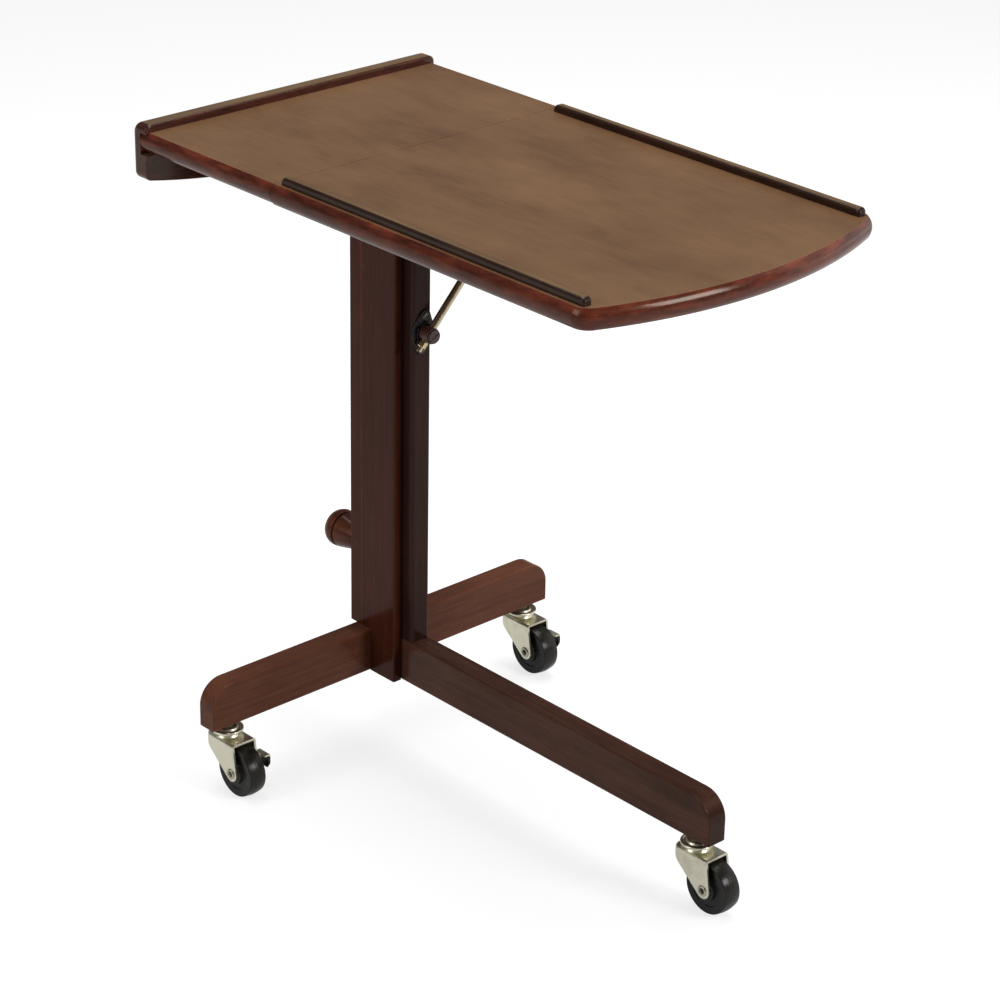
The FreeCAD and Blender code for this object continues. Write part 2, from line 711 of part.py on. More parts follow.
collar_gap = s.slide_gap
first_block = split + s.first_bearing
second_block = first_block + s.bearing_pitch
shaft_end = second_block + s.bearing_length + collar_gap + s.collar_width
shaft_start = post_front - s.shaft_grip
shaft_pin_x = post_front - s.shaft_pin_setback
shaft_pin = rod(
    "shaft_pin_rod", "Z", (shaft_pin_x, 0), (shaft_level - s.shaft_radius * 2, post_top), s.shaft_pin_radius,
)
node("shaft_pin", shaft_pin)
shaft_bar = rod("shaft_bar", "X", (0, shaft_level), (shaft_start, shaft_end), s.shaft_radius)
node("tilt_shaft", cut("tilt_shaft", shaft_bar, shaft_pin))
shaft_room = rod("shaft_room", "X", (0, shaft_level), (shaft_start, post_front), s.shaft_radius)


def collar(name, start):
    """A plain ring on the tilt shaft."""
    span = (start, start + s.collar_width)
    ring = rod(f"{name}_ring", "X", (0, shaft_level), span, s.collar_radius)
    bore = rod(f"{name}_bore", "X", (0, shaft_level), span, s.shaft_radius)
    return cut(name, ring, bore)


collars = [
    collar("collar_rear", first_block - collar_gap - s.collar_width),
    collar("collar_front", second_block + s.bearing_length + collar_gap),
]
node("shaft_collars", bundle("collar_set", collars))

bolts = []
for x in (post_rear + s.bolt_inset, post_front - s.bolt_inset):
    spot = (x, block_bottom + s.bolt_rise)
    name = f"block_bolt_{len(bolts) + 1}"
    shank = rod(f"{name}_shank", "Y", spot, (-block_outer, block_outer), s.bolt_radius)
    head_y = (-block_outer - s.bolt_head_height, -block_outer)
    nut_y = (block_outer, block_outer + s.bolt_head_height)
    head = hexagon(f"{name}_head", "Y", spot, head_y, s.bolt_across_flats)
    nut = hexagon(f"{name}_nut", "Y", spot, nut_y, s.bolt_across_flats)
    bolts.append(fuse(name, shank, head, nut))
block_bolts = node("block_bolts", bundle("block_bolt_set", bolts))

# The strut's plate is a lozenge that leans, held by two slotted screws, with the hub's pivot in front.
lean = math.radians(s.plate_lean.number)
plate_turn = FreeCAD.Rotation(FreeCAD.Vector(1, 0, 0), -s.plate_lean.number)


plate_flare = math.asin(((s.plate_radius - s.plate_end_radius) / (s.plate_screw_pitch / 2)).number)
flare_side = math.cos(plate_flare)
flare_rise = math.sin(plate_flare)
middle_corner = (s.plate_radius * flare_side, s.plate_radius * flare_rise)
end_corner = (s.plate_end_radius * flare_side, s.plate_screw_pitch / 2 + s.plate_end_radius * flare_rise)
plate_corners = [
    (middle_corner[0], -middle_corner[1]),
    middle_corner,
    end_corner,
    (-end_corner[0], end_corner[1]),
    (-middle_corner[0], middle_corner[1]),
    (-middle_corner[0], -middle_corner[1]),
    (-end_corner[0], -end_corner[1]),
    (end_corner[0], -end_corner[1]),
]
plate_arcs = {
    0: (s.plate_radius, 1),
    2: (s.plate_end_radius, 1),
    4: (s.plate_radius, 1),
    6: (s.plate_end_radius, 1),
}
plate = new_body("strut_plate_body")
slab(plate, "strut_plate", "YZ_Plane", plate_corners, (0, s.plate_thickness), plate_arcs)
plate.Placement = FreeCAD.Placement(FreeCAD.Vector(), plate_turn)
plate = place(plate, post_front, 0, hub_level)
plate_pivot = rod(
    "plate_pivot", "X", (0, hub_level), (post_front, hub_rear + s.hub_pivot_reach), s.hub_pivot_radius,
)
plate_whole = fuse("strut_plate_whole", plate, plate_pivot)

plate_screws = []
for sign in (-1, 1):
    spot_across = sign * math.sin(lean) * s.plate_screw_pitch / 2
    spot_level = hub_level + sign * math.cos(lean) * s.plate_screw_pitch / 2
    spot = (spot_across, spot_level)
    name = f"plate_screw_{len(plate_screws) + 1}"
    head_x = (plate_front, plate_front + s.plate_screw_head)
    tip = plate_front - s.plate_screw_length
    shank = rod(f"{name}_shank", "X", spot, (tip, plate_front), s.plate_screw_radius)
    head = cone(f"{name}_head", "X", spot, head_x, (2 * s.plate_screw_radius, 1.4 * s.plate_screw_radius))
    slot_half_width = s.plate_screw_radius / 5
    nick = block(
        f"{name}_nick",
        (plate_front + s.plate_screw_head / 2, plate_front + s.plate_screw_head),
        (spot_across - 2 * s.plate_screw_radius, spot_across + 2 * s.plate_screw_radius),
        (spot_level - slot_half_width, spot_level + slot_half_width),
    )
    plate_screws.append(cut(name, fuse(f"{name}_whole", shank, head), nick))
strut_screws = node("strut_screws", bundle("strut_screw_set", plate_screws))
node("strut_plate", cut("strut_plate", plate_whole, strut_screws))

post = new_body("post_body")
slab(
    post, "post", "XY_Plane",
    rectangle((post_rear, post_front), (-post_half, post_half)), (post_bottom, post_top),
)
rounded(
    post, "post_edges", s.post_edge_radius,
    lambda edge: lies_at(edge, "X", post_front) and runs_along(edge, "Z"),
)
groove_x = (
    guide_middle - s.guide_width / 2 - s.slide_gap,
    guide_middle + s.guide_width / 2 + s.slide_gap,
)
for side in SIDES:
    # The grooves stop below the head, so that the post stays whole where the blocks are bolted on.
    groove_y = across(side, gap_half - s.guide_height - s.slide_gap, post_half)
    hollow(
        post, f"post_groove_{side}", "XY_Plane", rectangle(groove_x, groove_y),
        (post_bottom, channel_top + s.slide_gap),
    )
stud_room = rod(
    "stud_room", "X", (0, s.knob_height), (insert_end, insert_end + s.stud_radius), s.stud_radius + s.fit_gap,
)
insert_room = rod("insert_room", "X", (0, s.knob_height), (post_rear, insert_end), s.insert_radius)
node("inner_post", cut("inner_post", post, insert_room, stud_room, shaft_room, shaft_pin, block_bolts, strut_screws))

block_x = (s.back_face - s.block_rear, split - s.block_front_gap)
head_screws = {side: [] for side in SIDES}
for side, sign in SIDES.items():
    for x in (block_x[0] + s.head_screw_margin, block_x[1] - s.head_screw_margin):
        spot = (x, sign * (post_half + s.block_width / 2))
        name = f"head_screw_{side}_{len(head_screws[side]) + 1}"
        span = (block_bottom, small_leaf_bottom + s.leaf_screw_bite)
        head_screws[side].append(countersunk(name, "Z", spot, *span, s.leaf_screw_radius))
    side_bundle = bundle(f"head_screws_{side}", head_screws[side])
    timber = block(
        f"support_block_{side}_timber", block_x, across(side, post_half, block_outer),
        (block_bottom, small_leaf_bottom),
    )
    node(f"support_block_{side}", cut(f"support_block_{side}", timber, block_bolts, side_bundle))
leaf_screws = node("head_screws", bundle("head_screw_set", head_screws["near"] + head_screws["far"]))

# ---------------------------------------------------------------- fixed leaf and end lip

flat_half = table_half - s.bulge


def edge_radius(thickness):
    """Radius of the arc that swells by the bulge over a leaf's thickness."""
    return (thickness * thickness / 4 + s.bulge * s.bulge) / (2 * s.bulge)


small = new_body("small_leaf_body")
slab(
    small, "small_leaf", "YZ_Plane",
    rectangle((-flat_half, flat_half), (small_leaf_bottom, s.table_height)), (small_leaf_rear, split),
    {1: (edge_radius(s.small_leaf_thickness), 1), 3: (edge_radius(s.small_leaf_thickness), 1)},
)
tongue_top = s.table_height - s.tongue_drop
tongue_room = block(
    "tongue_room", (small_leaf_rear, lip_inner), (-table_half, table_half), (tongue_top, s.table_height),
)
node("small_leaf", cut("small_leaf", small, leaf_screws, tongue_room))

lip = new_body("lip_body")
lip_top = s.table_height + s.lip_rise
lip_end = lip_top - s.lip_end_height
belly_radius = (table_half * table_half + s.lip_belly * s.lip_belly) / (2 * s.lip_belly)
slab(
    lip, "lip", "YZ_Plane", rectangle((-table_half, table_half), (lip_end, lip_top)), (lip_outer, lip_inner),
    {0: (belly_radius, 1)},
)


def runs_low(edge):
    """Whether the edge is the lip's outer lower one."""
    return lies_at(edge, "X", lip_outer) and edge.BoundBox.ZMax < lip_end.number + CLOSE


rounded(
    lip, "lip_crown", s.lip_crown_radius,
    lambda edge: lies_at(edge, "X", lip_outer) and lies_at(edge, "Z", lip_top),
)
rounded(
    lip, "lip_ends", s.lip_end_radius,
    lambda edge: (lies_at(edge, "Y", table_half) or lies_at(edge, "Y", -table_half) or runs_low(edge))
    and not lies_at(edge, "X", lip_inner),
)
rounded(lip, "lip_edges", s.lip_edge_radius, lambda edge: lies_at(edge, "X", lip_inner))
lip_groove = block(
    "lip_groove", (small_leaf_rear, lip_inner), (-table_half, table_half),
    (small_leaf_bottom - s.lip_groove_slack, tongue_top),
)
node("end_lip", cut("end_lip", lip, lip_groove))

# ---------------------------------------------------------------- tilting leaf

bow_centre = leaf_apex - s.bow_radius
corner_across = table_half - s.leaf_corner_radius
corner_reach = s.bow_radius - s.leaf_corner_radius
corner_x = bow_centre + root(corner_reach * corner_reach - corner_across * corner_across)


def leaf_outline(inset):
    """The leaf's edge, from its near split corner round the bowed end to the far split corner."""
    half = table_half - inset
    bow = s.bow_radius - inset
    meet_x = bow_centre + (corner_x - bow_centre) * bow / corner_reach
    meet_y = corner_across * bow / corner_reach
    corners = [
        (large_leaf_rear, -half),
        (corner_x, -half),
        (meet_x, -meet_y),
        (meet_x, meet_y),
        (corner_x, half),
        (large_leaf_rear, half),
    ]
    arcs = {1: (s.leaf_corner_radius - inset, 1), 2: (bow, 1), 3: (s.leaf_corner_radius - inset, 1)}
    return corners, arcs


SWEEP_OVERLAP = 2
large = new_body("tilt_leaf_body")
slab(large, "tilt_leaf", "XY_Plane", leaf_outline(s.bulge)[0], (large_leaf_bottom, s.table_height),
     leaf_outline(s.bulge)[1])
middle_level = large_leaf_bottom + s.large_leaf_thickness / 2
edge_path = new_sketch(large, "tilt_leaf_edge_path", "XY_Plane", middle_level)
draw(edge_path, *leaf_outline(s.bulge), closed=False)
edge_section = new_sketch(large, "tilt_leaf_edge_section", "YZ_Plane", large_leaf_rear)
draw(
    edge_section,
    [
        (-flat_half + SWEEP_OVERLAP, large_leaf_bottom),
        (-flat_half + SWEEP_OVERLAP, s.table_height),
        (-flat_half, s.table_height),
        (-flat_half, large_leaf_bottom),
    ],
    {2: (edge_radius(s.large_leaf_thickness), 1)},
)
edge_sweep = large.newObject("PartDesign::AdditivePipe", "tilt_leaf_edge")
edge_sweep.Profile = edge_section
edge_sweep.Spine = edge_path
doc.recompute()

bearing_foot_bottom = large_leaf_bottom - s.bearing_foot_depth
bearing_screws = []
for start in (first_block, second_block):
    for along_sign in (-1, 1):
        for across_sign in (-1, 1):
            x = start + s.bearing_length / 2 + along_sign * s.bearing_screw_along / 2
            spot = (x, across_sign * s.bearing_screw_across / 2)
            span = (bearing_foot_bottom, large_leaf_bottom + s.leaf_screw_bite)
            name = f"bearing_screw_{len(bearing_screws) + 1}"
            bearing_screws.append(countersunk(name, "Z", spot, *span, s.leaf_screw_radius))
bearing_screws = node("bearing_screws", bundle("bearing_screw_set", bearing_screws))

for end, start in (("rear", first_block), ("front", second_block)):
    span = (start, start + s.bearing_length)
    foot = block(
        f"bearing_foot_{end}_timber", span, (-s.bearing_foot_width / 2, s.bearing_foot_width / 2),
        (bearing_foot_bottom, large_leaf_bottom),
    )
    node(f"bearing_foot_{end}", cut(f"bearing_foot_{end}", foot, bearing_screws))
    timber = block(
        f"bearing_block_{end}_timber", span, (-s.bearing_width / 2, s.bearing_width / 2),
        (large_leaf_bottom - s.bearing_depth, bearing_foot_bottom),
    )
    bore = rod(f"bearing_block_{end}_bore", "X", (0, shaft_level), span, s.shaft_radius + s.fit_gap)
    node(f"bearing_block_{end}", cut(f"bearing_block_{end}", timber, bore))

ear_inner = s.eye_width / 2 + s.slide_gap
ear_outer = ear_inner + s.bracket_wall
foot_level = large_leaf_bottom - s.bracket_wall
bracket_screws = []
for sign in (-1, 1):
    spot = (rod_plane, pivot_across + sign * s.bracket_screw_pitch / 2)
    span = (foot_level, large_leaf_bottom + s.leaf_screw_bite)
    name = f"bracket_screw_{len(bracket_screws) + 1}"
    bracket_screws.append(countersunk(name, "Z", spot, *span, s.leaf_screw_radius))
bracket_screws = node("bracket_screws", bundle("bracket_screw_set", bracket_screws))

pivot_pin = rod(
    "pivot_pin_rod", "X", (pivot_across, pivot_level),
    (rod_plane - ear_outer - 1, rod_plane + ear_outer + 1), s.pivot_pin_radius,
)
node("rod_pivot_pin", pivot_pin)
ears = []
for sign in (-1, 1):
    wall = (ear_inner, ear_outer) if sign > 0 else (-ear_outer, -ear_inner)
    span = (rod_plane + wall[0], rod_plane + wall[1])
    ears.append(rod(f"ear_round_{sign + 2}", "X", (pivot_across, pivot_level), span, s.eye_radius))
    ear_y = (pivot_across - s.eye_radius, pivot_across + s.eye_radius)
    ears.append(block(f"ear_web_{sign + 2}", span, ear_y, (pivot_level, large_leaf_bottom)))
bracket_foot = block(
    "bracket_foot", (rod_plane - ear_outer, rod_plane + ear_outer),
    (pivot_across - s.bracket_length / 2, pivot_across + s.bracket_length / 2),
    (foot_level, large_leaf_bottom),
)
bracket = fuse("bracket", bracket_foot, *ears)
node("rod_bracket", cut("rod_bracket", bracket, pivot_pin, bracket_screws))

rail_x = (split + s.rail_start, split + s.rail_start + s.rail_length)
rail_z = (s.table_height - s.rail_seat, s.table_height + s.rail_height)


def paper_rail(side):
    """Rail with rounded ends and upper edges, whose foot is let into the leaf."""
    body = new_body(f"rail_{side}_body")
    corners = [
        (rail_x[0], rail_z[0]),
        (rail_x[1], rail_z[0]),
        (rail_x[1], rail_z[1] - s.rail_end_radius),
        (rail_x[1] - s.rail_end_radius, rail_z[1]),
        (rail_x[0] + s.rail_start_radius, rail_z[1]),
        (rail_x[0], rail_z[1] - s.rail_start_radius),
    ]
    rail_y = across(side, table_half - s.rail_inset - s.rail_width, table_half - s.rail_inset)
    arcs = {2: (s.rail_end_radius, 1), 4: (s.rail_start_radius, 1)}
    slab(body, f"rail_{side}", "XZ_Plane", corners, rail_y, arcs)
    rounded(
        body, f"rail_{side}_edges", s.rail_edge_radius,
        lambda edge: lies_at(edge, "Z", rail_z[1]) and runs_along(edge, "X"),
    )
    return node(f"rail_{side}", body)


rails = [paper_rail(side) for side in SIDES]
node("tilt_leaf", cut("tilt_leaf", large, bearing_screws, bracket_screws, *rails))

# ---------------------------------------------------------------- tilt strut

hub_barrel = rod("hub_barrel", "X", (0, hub_level), (hub_rear, hub_front), s.hub_radius)
hub_socket = rod(
    "hub_socket", "X", (0, hub_level),
    (hub_rear, hub_rear + s.hub_pivot_reach + s.slide_gap), s.hub_pivot_radius + s.fit_gap,
)
collar_front = hub_rear + s.hub_collar_length
collar_disc = rod("hub_collar_disc", "X", (0, hub_level), (hub_rear, collar_front), s.hub_collar_radius)
collar_hole = rod("hub_collar_hole", "X", (0, hub_level), (hub_rear, collar_front), s.hub_radius)
rod_front = rod_plane + s.rod_radius + s.slide_gap
screw_bore = rod("hub_screw_bore", "X", (0, hub_level), (rod_plane, hub_front), s.lock_screw_shank + s.fit_gap)

rod_lean = math.atan2(pivot_across.number, (pivot_level - hub_level).number)
rod_turn = FreeCAD.Rotation(FreeCAD.Vector(1, 0, 0), -math.degrees(rod_lean))
rod_length = root(pivot_across * pivot_across + (pivot_level - hub_level) * (pivot_level - hub_level))
nut_top = s.hub_radius + s.slide_gap
rod_tail = nut_top + s.stop_nut_height + s.rod_tail


def on_rod(solid, distance):
    """Set a solid built along Z on the strut rod, its foot at a distance up the rod from the hub."""
    solid.Placement = FreeCAD.Placement(FreeCAD.Vector(), rod_turn)
    across_share = math.sin(rod_lean)
    rise_share = math.cos(rod_lean)
    return place(solid, rod_plane, distance * across_share, hub_level + distance * rise_share)


def straight(name, radius, low, high):
    solid = doc.addObject("Part::Cylinder", name)
    bind(solid, "Radius", radius)
    bind(solid, "Height", high - low)
    return on_rod(solid, low)


hub_cross_bore = straight("hub_cross_bore", s.rod_radius + s.fit_gap, -2 * s.hub_radius, 2 * s.hub_radius)
node("strut_hub", cut("strut_hub", hub_barrel, hub_socket, hub_cross_bore, screw_bore))
node("hub_collar", cut("hub_collar", collar_disc, collar_hole))

eye = rod(
    "rod_eye", "X", (pivot_across, pivot_level),
    (rod_plane - s.eye_width / 2, rod_plane + s.eye_width / 2), s.eye_radius,
)
eye_bore = rod(
    "rod_eye_bore", "X", (pivot_across, pivot_level),
    (rod_plane - s.eye_width / 2, rod_plane + s.eye_width / 2), s.pivot_pin_radius + s.fit_gap,
)
rod_bar = straight("strut_rod_bar", s.rod_radius, -nut_top, rod_length)
rod_thread = straight("strut_rod_thread", s.rod_thread_radius, -rod_tail, -nut_top)
rod_whole = fuse("strut_rod_whole", rod_bar, rod_thread, eye)
node("strut_rod", cut("strut_rod", rod_whole, eye_bore))
stop_nut = doc.addObject("Part::Prism", "stop_nut_prism")
stop_nut.Polygon = 6
bind(stop_nut, "Circumradius", s.stop_nut_across_flats / root(as_size(3)))
bind(stop_nut, "Height", s.stop_nut_height)
on_rod(stop_nut, -nut_top - s.stop_nut_height)
nut_bore = straight("stop_nut_bore", s.rod_thread_radius, -nut_top - s.stop_nut_height, -nut_top)
node("rod_stop_nut", cut("rod_stop_nut", stop_nut, nut_bore))

head_start = hub_front + s.slide_gap
head_end = head_start + s.lock_screw_head
lock_head = rod("lock_head", "X", (0, hub_level), (head_start, head_end), s.lock_screw_radius)
lock_shank = rod("lock_shank", "X", (0, hub_level), (rod_front, head_start), s.lock_screw_shank)
lock_slot = block(
    "lock_slot", (head_start + s.lock_screw_head / 2, head_end),
    (-s.lock_screw_radius, s.lock_screw_radius),
    (hub_level - s.lock_screw_slot / 2, hub_level + s.lock_screw_slot / 2),
)
node("strut_lock_screw", cut("lock_screw", fuse("lock_screw_whole", lock_head, lock_shank), lock_slot))

# ---------------------------------------------------------------- clamp knob

washer_front = s.back_face - s.slide_gap
washer_rear = washer_front - s.washer_thickness
washer_disc = rod("washer_disc", "X", (0, s.knob_height), (washer_rear, washer_front), s.washer_radius)
washer_bore = rod("washer_bore", "X", (0, s.knob_height), (washer_rear, washer_front), s.stud_radius)
node("knob_washer", cut("knob_washer", washer_disc, washer_bore))
stud_span = (washer_rear - s.stud_grip, post_rear + s.stud_reach)
knob_stud = node("knob_stud", rod("knob_stud_rod", "X", (0, s.knob_height), stud_span, s.stud_radius))

knob = new_body("knob_body")
groove_start = -s.knob_taper_length
cap_start = groove_start - s.knob_groove_width
cap_end = cap_start - s.knob_cap_length
dome_end = cap_end - s.knob_dome_height
dome_fall = s.knob_cap_radius - s.knob_flat_radius
dome_radius = (dome_fall * dome_fall + s.knob_dome_height * s.knob_dome_height) / (2 * s.knob_dome_height)
turned(
    knob, "knob", "XZ_Plane",
    [
        (0, 0),
        (0, s.knob_root_radius),
        (groove_start, s.knob_taper_radius),
        (groove_start, s.knob_taper_radius - s.knob_groove_depth),
        (cap_start, s.knob_taper_radius - s.knob_groove_depth),
        (cap_start, s.knob_cap_radius),
        (cap_end, s.knob_cap_radius),
        (dome_end, s.knob_flat_radius),
        (dome_end, 0),
    ],
    "H_Axis", {6: (dome_radius, 1)},
)
place(knob, washer_rear, 0, s.knob_height)
node("height_knob", cut("height_knob", knob, knob_stud))

# ---------------------------------------------------------------- casters

fork_half = s.fork_width / 2
fork_inner = fork_half - s.fork_wall
pedal_pivot_y = fork_half + s.pedal_pivot_out
pedal_pivot_z = s.pedal_top - s.pedal_barrel_radius
pedal_x = (s.pedal_start, s.pedal_start + s.pedal_length)
lug_x = (s.lug_start, s.lug_start + s.lug_spread)
BRAKED = ("near", "far")


def fork_outline(body, name):
    """Side of the fork: a sheet that tapers from the swivel plate to a round boss at the axle."""
    sketch = new_sketch(body, f"{name}_outline", "XZ_Plane", -fork_half)
    fixed = {
        0: (-s.fork_rear, s.fork_top - s.fork_rear_height),
        2: (s.fork_front, s.fork_top - s.fork_wall),
        3: (s.fork_front, s.fork_top),
        4: (-s.fork_rear, s.fork_top),
    }
    centre = FreeCAD.Vector(s.trail.number, s.wheel_radius.number, 0)
    radius = s.fork_boss_radius.number
    spots = {key: FreeCAD.Vector(as_size(x).number, as_size(z).number, 0) for key, (x, z) in fixed.items()}
    rear_meet = centre + FreeCAD.Vector(-0.7, -0.7, 0) * radius
    front_meet = centre + FreeCAD.Vector(1, 0, 0) * radius
    circle = Part.Circle(centre, FreeCAD.Vector(0, 0, 1), radius)
    sketch.addGeometry(Part.LineSegment(spots[0], rear_meet))
    sketch.addGeometry(Part.ArcOfCircle(circle, math.radians(-135), 0))
    sketch.addGeometry(Part.LineSegment(front_meet, spots[2]))
    sketch.addGeometry(Part.LineSegment(spots[2], spots[3]))
    sketch.addGeometry(Part.LineSegment(spots[3], spots[4]))
    sketch.addGeometry(Part.LineSegment(spots[4], spots[0]))
    sketch.addConstraint(Sketcher.Constraint("Tangent", 0, 2, 1, 1))
    sketch.addConstraint(Sketcher.Constraint("Tangent", 1, 2, 2, 1))
    for side, other in ((2, 3), (3, 4), (4, 5), (5, 0)):
        sketch.addConstraint(Sketcher.Constraint("Coincident", side, 2, other, 1))
    ties = [(side if side < 2 else side + 1, 1, *fixed[side]) for side in (0, 3, 4)]
    ties.append((3, 1, *fixed[2]))
    ties.append((1, 3, s.trail, s.wheel_radius))
    for side, point, x, z in ties:
        for kind, size in (("DistanceX", as_size(x)), ("DistanceY", as_size(z))):
            tie = sketch.addConstraint(Sketcher.Constraint(kind, -1, 1, side, point, size.number))
            sketch.setExpression(f"Constraints[{tie}]", size.text)
    tie = sketch.addConstraint(Sketcher.Constraint("Radius", 1, radius))
    sketch.setExpression(f"Constraints[{tie}]", s.fork_boss_radius.text)
    return sketch


def fork_plan(inset):
    """The fork seen from above, inset all round but at its open front: corners, height and arcs for a slab."""
    front = s.trail + 2 * s.fork_boss_radius + inset
    half = fork_half - inset
    rear = inset - s.fork_rear
    corner = s.fork_corner_radius - inset
    corners = [
        (front, -half),
        (front, half),
        (rear + corner, half),
        (rear, half - corner),
        (rear, corner - half),
        (rear + corner, -half),
    ]
    return corners, (0, s.fork_top - inset), {2: (corner, 1), 4: (corner, 1)}


def fork(end):
    """Folded sheet fork, with lugs for the brake pedal on the braked casters."""
    name = f"fork_{end}"
    side = new_body(f"{name}_side_body")
    pad(side, f"{name}_side", fork_outline(side, name), s.fork_width)
    body = new_body(f"{name}_body")
    slab(body, name, "XY_Plane", *fork_plan(0))
    rounded(
        body, f"{name}_folds", s.fork_fold_radius,
        lambda edge: lies_at(edge, "Z", s.fork_top) and edge.BoundBox.XMin < s.fork_front.number - CLOSE,
    )
    hollow(body, f"{name}_room", "XY_Plane", *fork_plan(s.fork_wall))
    x, y = stems[end]
    sheet_metal = common(f"{name}_sheet", place(side, x, y, 0), place(body, x, y, 0))
    seat = rod(f"{name}_seat_foot", "Z", (x, y), (plate_bottom, s.fork_top), s.seat_radius)
    seat_top = cone(
        f"{name}_seat", "Z", (x, y), (s.fork_top, s.fork_top + s.seat_height),
        (s.seat_radius, s.seat_top_radius),
    )
    additions = [seat, seat_top]
    if end in BRAKED:
        for start in (lug_x[0], lug_x[1] - s.lug_wall):
            span = (x + start, x + start + s.lug_wall)
            tag = f"{name}_lug_{len(additions)}"
            pivot = (y + pedal_pivot_y, pedal_pivot_z)
            additions.append(rod(f"{tag}_round", "X", pivot, span, s.lug_radius))
            additions.append(block(
                f"{tag}_web", span, (y + fork_half, y + pedal_pivot_y),
                (pedal_pivot_z - s.lug_radius, pedal_pivot_z + s.lug_radius),
            ))
    whole = fuse(f"{name}_whole", sheet_metal, *additions)
    journal = rod(
        f"{name}_journal", "Z", (x, y), (plate_bottom, s.fork_top + s.seat_height),
        s.journal_radius + s.fit_gap,
    )
    axle_room = rod(
        f"{name}_axle_room", "Y", (x + s.trail, s.wheel_radius),
        (y - fork_half, y + fork_half), s.axle_radius,
    )
    tools = [journal, axle_room]
    if end in BRAKED:
        tools.append(rod(
            f"{name}_pedal_bore", "X", (y + pedal_pivot_y, pedal_pivot_z),
            (x + lug_x[0], x + lug_x[1]), s.pedal_pivot_radius + s.fit_gap,
        ))
    return node(name, cut(name, whole, *tools))


def axle_rivet(end):
    """Hollow rivet through the fork, with a rolled head at each end."""
    name = f"axle_{end}"
    x, y = stems[end]
    spot = (x + s.trail, s.wheel_radius)
    outer = fork_half + s.axle_head
    shank = rod(f"{name}_shank", "Y", spot, (y - outer, y + outer), s.axle_radius)
    heads = []
    for sign in (-1, 1):
        span = (y + fork_half, y + outer) if sign > 0 else (y - outer, y - fork_half)
        heads.append(rod(f"{name}_head_{sign + 2}", "Y", spot, span, s.axle_head_radius))
    bore = rod(f"{name}_bore", "Y", spot, (y - outer, y + outer), s.axle_bore)
    return node(name, cut(name, fuse(f"{name}_whole", shank, *heads), bore))


def wheel(end):
    """Crowned wheel with dished sides, on a metal bush that turns on the axle."""
    x, y = stems[end]
    hub_half = fork_inner - s.slide_gap
    half = s.wheel_width / 2
    edge = s.wheel_radius - s.wheel_crown
    rim = s.wheel_radius - s.wheel_rim
    web = half - s.wheel_dish
    tread = s.wheel_flat / 2
    lower = [
        (s.bush_radius, -hub_half),
        (s.hub_boss_radius, -hub_half),
        (s.hub_boss_radius + 1, -web),
        (rim - s.wheel_dish, -web),
        (rim, -half),
        (edge, -half),
        (s.wheel_radius, -tread),
    ]
    upper = [(radius, -place_y) for radius, place_y in reversed(lower)]
    shoulder = half - tread
    crown = (s.wheel_crown * s.wheel_crown + shoulder * shoulder) / (2 * s.wheel_crown)
    body = new_body(f"wheel_{end}_body")
    turned(body, f"wheel_{end}", "XY_Plane", lower + upper, "V_Axis", {5: (crown, 1), 7: (crown, 1)})
    node(f"wheel_{end}", place(body, x + s.trail, y, s.wheel_radius))
    spot = (x + s.trail, s.wheel_radius)
    span = (y - hub_half, y + hub_half)
    barrel = rod(f"bush_{end}_barrel", "Y", spot, span, s.bush_radius)
    bore = rod(f"bush_{end}_bore", "Y", spot, span, s.axle_radius + s.fit_gap)
    node(f"wheel_bush_{end}", cut(f"wheel_bush_{end}", barrel, bore))


def brake_pedal(end):
    """Curled sheet pedal with a barrel between the fork's lugs and a nose towards the fork."""
    name = f"brake_pedal_{end}"
    x, y = stems[end]
    outer = fork_half + s.pedal_reach
    inner = outer - s.pedal_sheet
    under = s.pedal_top - s.pedal_sheet
    bend_top = s.pedal_top - s.pedal_bend
    curl = s.pedal_top - s.pedal_fall
    plate_start = pedal_pivot_y + s.lug_radius + s.slide_gap
    body = new_body(f"{name}_body")
    corners = [
        (plate_start, under),
        (outer - s.pedal_bend, under),
        (inner, bend_top),
        (inner - s.pedal_sheet, curl + s.pedal_sheet * 2),
        (outer - s.pedal_bend * 1.5, curl + s.pedal_sheet),
        (outer - s.pedal_bend * 1.5 + s.pedal_sheet / 2, curl),
        (outer - s.pedal_sheet / 2, curl + s.pedal_sheet * 1.5),
        (outer, bend_top),
        (outer - s.pedal_bend, s.pedal_top),
        (plate_start, s.pedal_top),
    ]
    bends = {1: (s.pedal_bend - s.pedal_sheet, -1), 7: (s.pedal_bend, 1)}
    slab(body, name, "YZ_Plane", corners, pedal_x, bends)
    place(body, x, y, 0)
    pivot = (y + pedal_pivot_y, pedal_pivot_z)
    clear = s.lug_wall + s.slide_gap
    neck_x = (x + lug_x[0] + clear, x + lug_x[1] - clear)
    neck = block(f"{name}_neck", neck_x, (pivot[0], y + plate_start), (under, s.pedal_top))
    barrel = rod(f"{name}_barrel", "X", pivot, neck_x, s.pedal_barrel_radius)
    trunnion = rod(f"{name}_trunnion", "X", pivot, (x + lug_x[0], x + lug_x[1]), s.pedal_pivot_radius)
    nose_y = (pivot[0] - s.pedal_sheet / 2, pivot[0] + s.pedal_sheet / 2)
    nose = block(f"{name}_nose", neck_x, nose_y, (pedal_pivot_z - s.pedal_nose, pedal_pivot_z))
    return node(name, fuse(f"{name}_whole", body, neck, barrel, trunnion, nose))


for end in stems:
    fork(end)
    axle_rivet(end)
    wheel(end)
for end in BRAKED:
    brake_pedal(end)

# ---------------------------------------------------------------- checks and files

doc.recompute()
for thing in doc.Objects:
    if "Invalid" in thing.State or "Error" in thing.State:
        raise RuntimeError(f"{thing.Name} did not build: {thing.State}")
for thing in nodes:
    if thing.Shape.isNull() or not thing.Shape.isValid():
        raise RuntimeError(f"{thing.Label} has no valid shape")

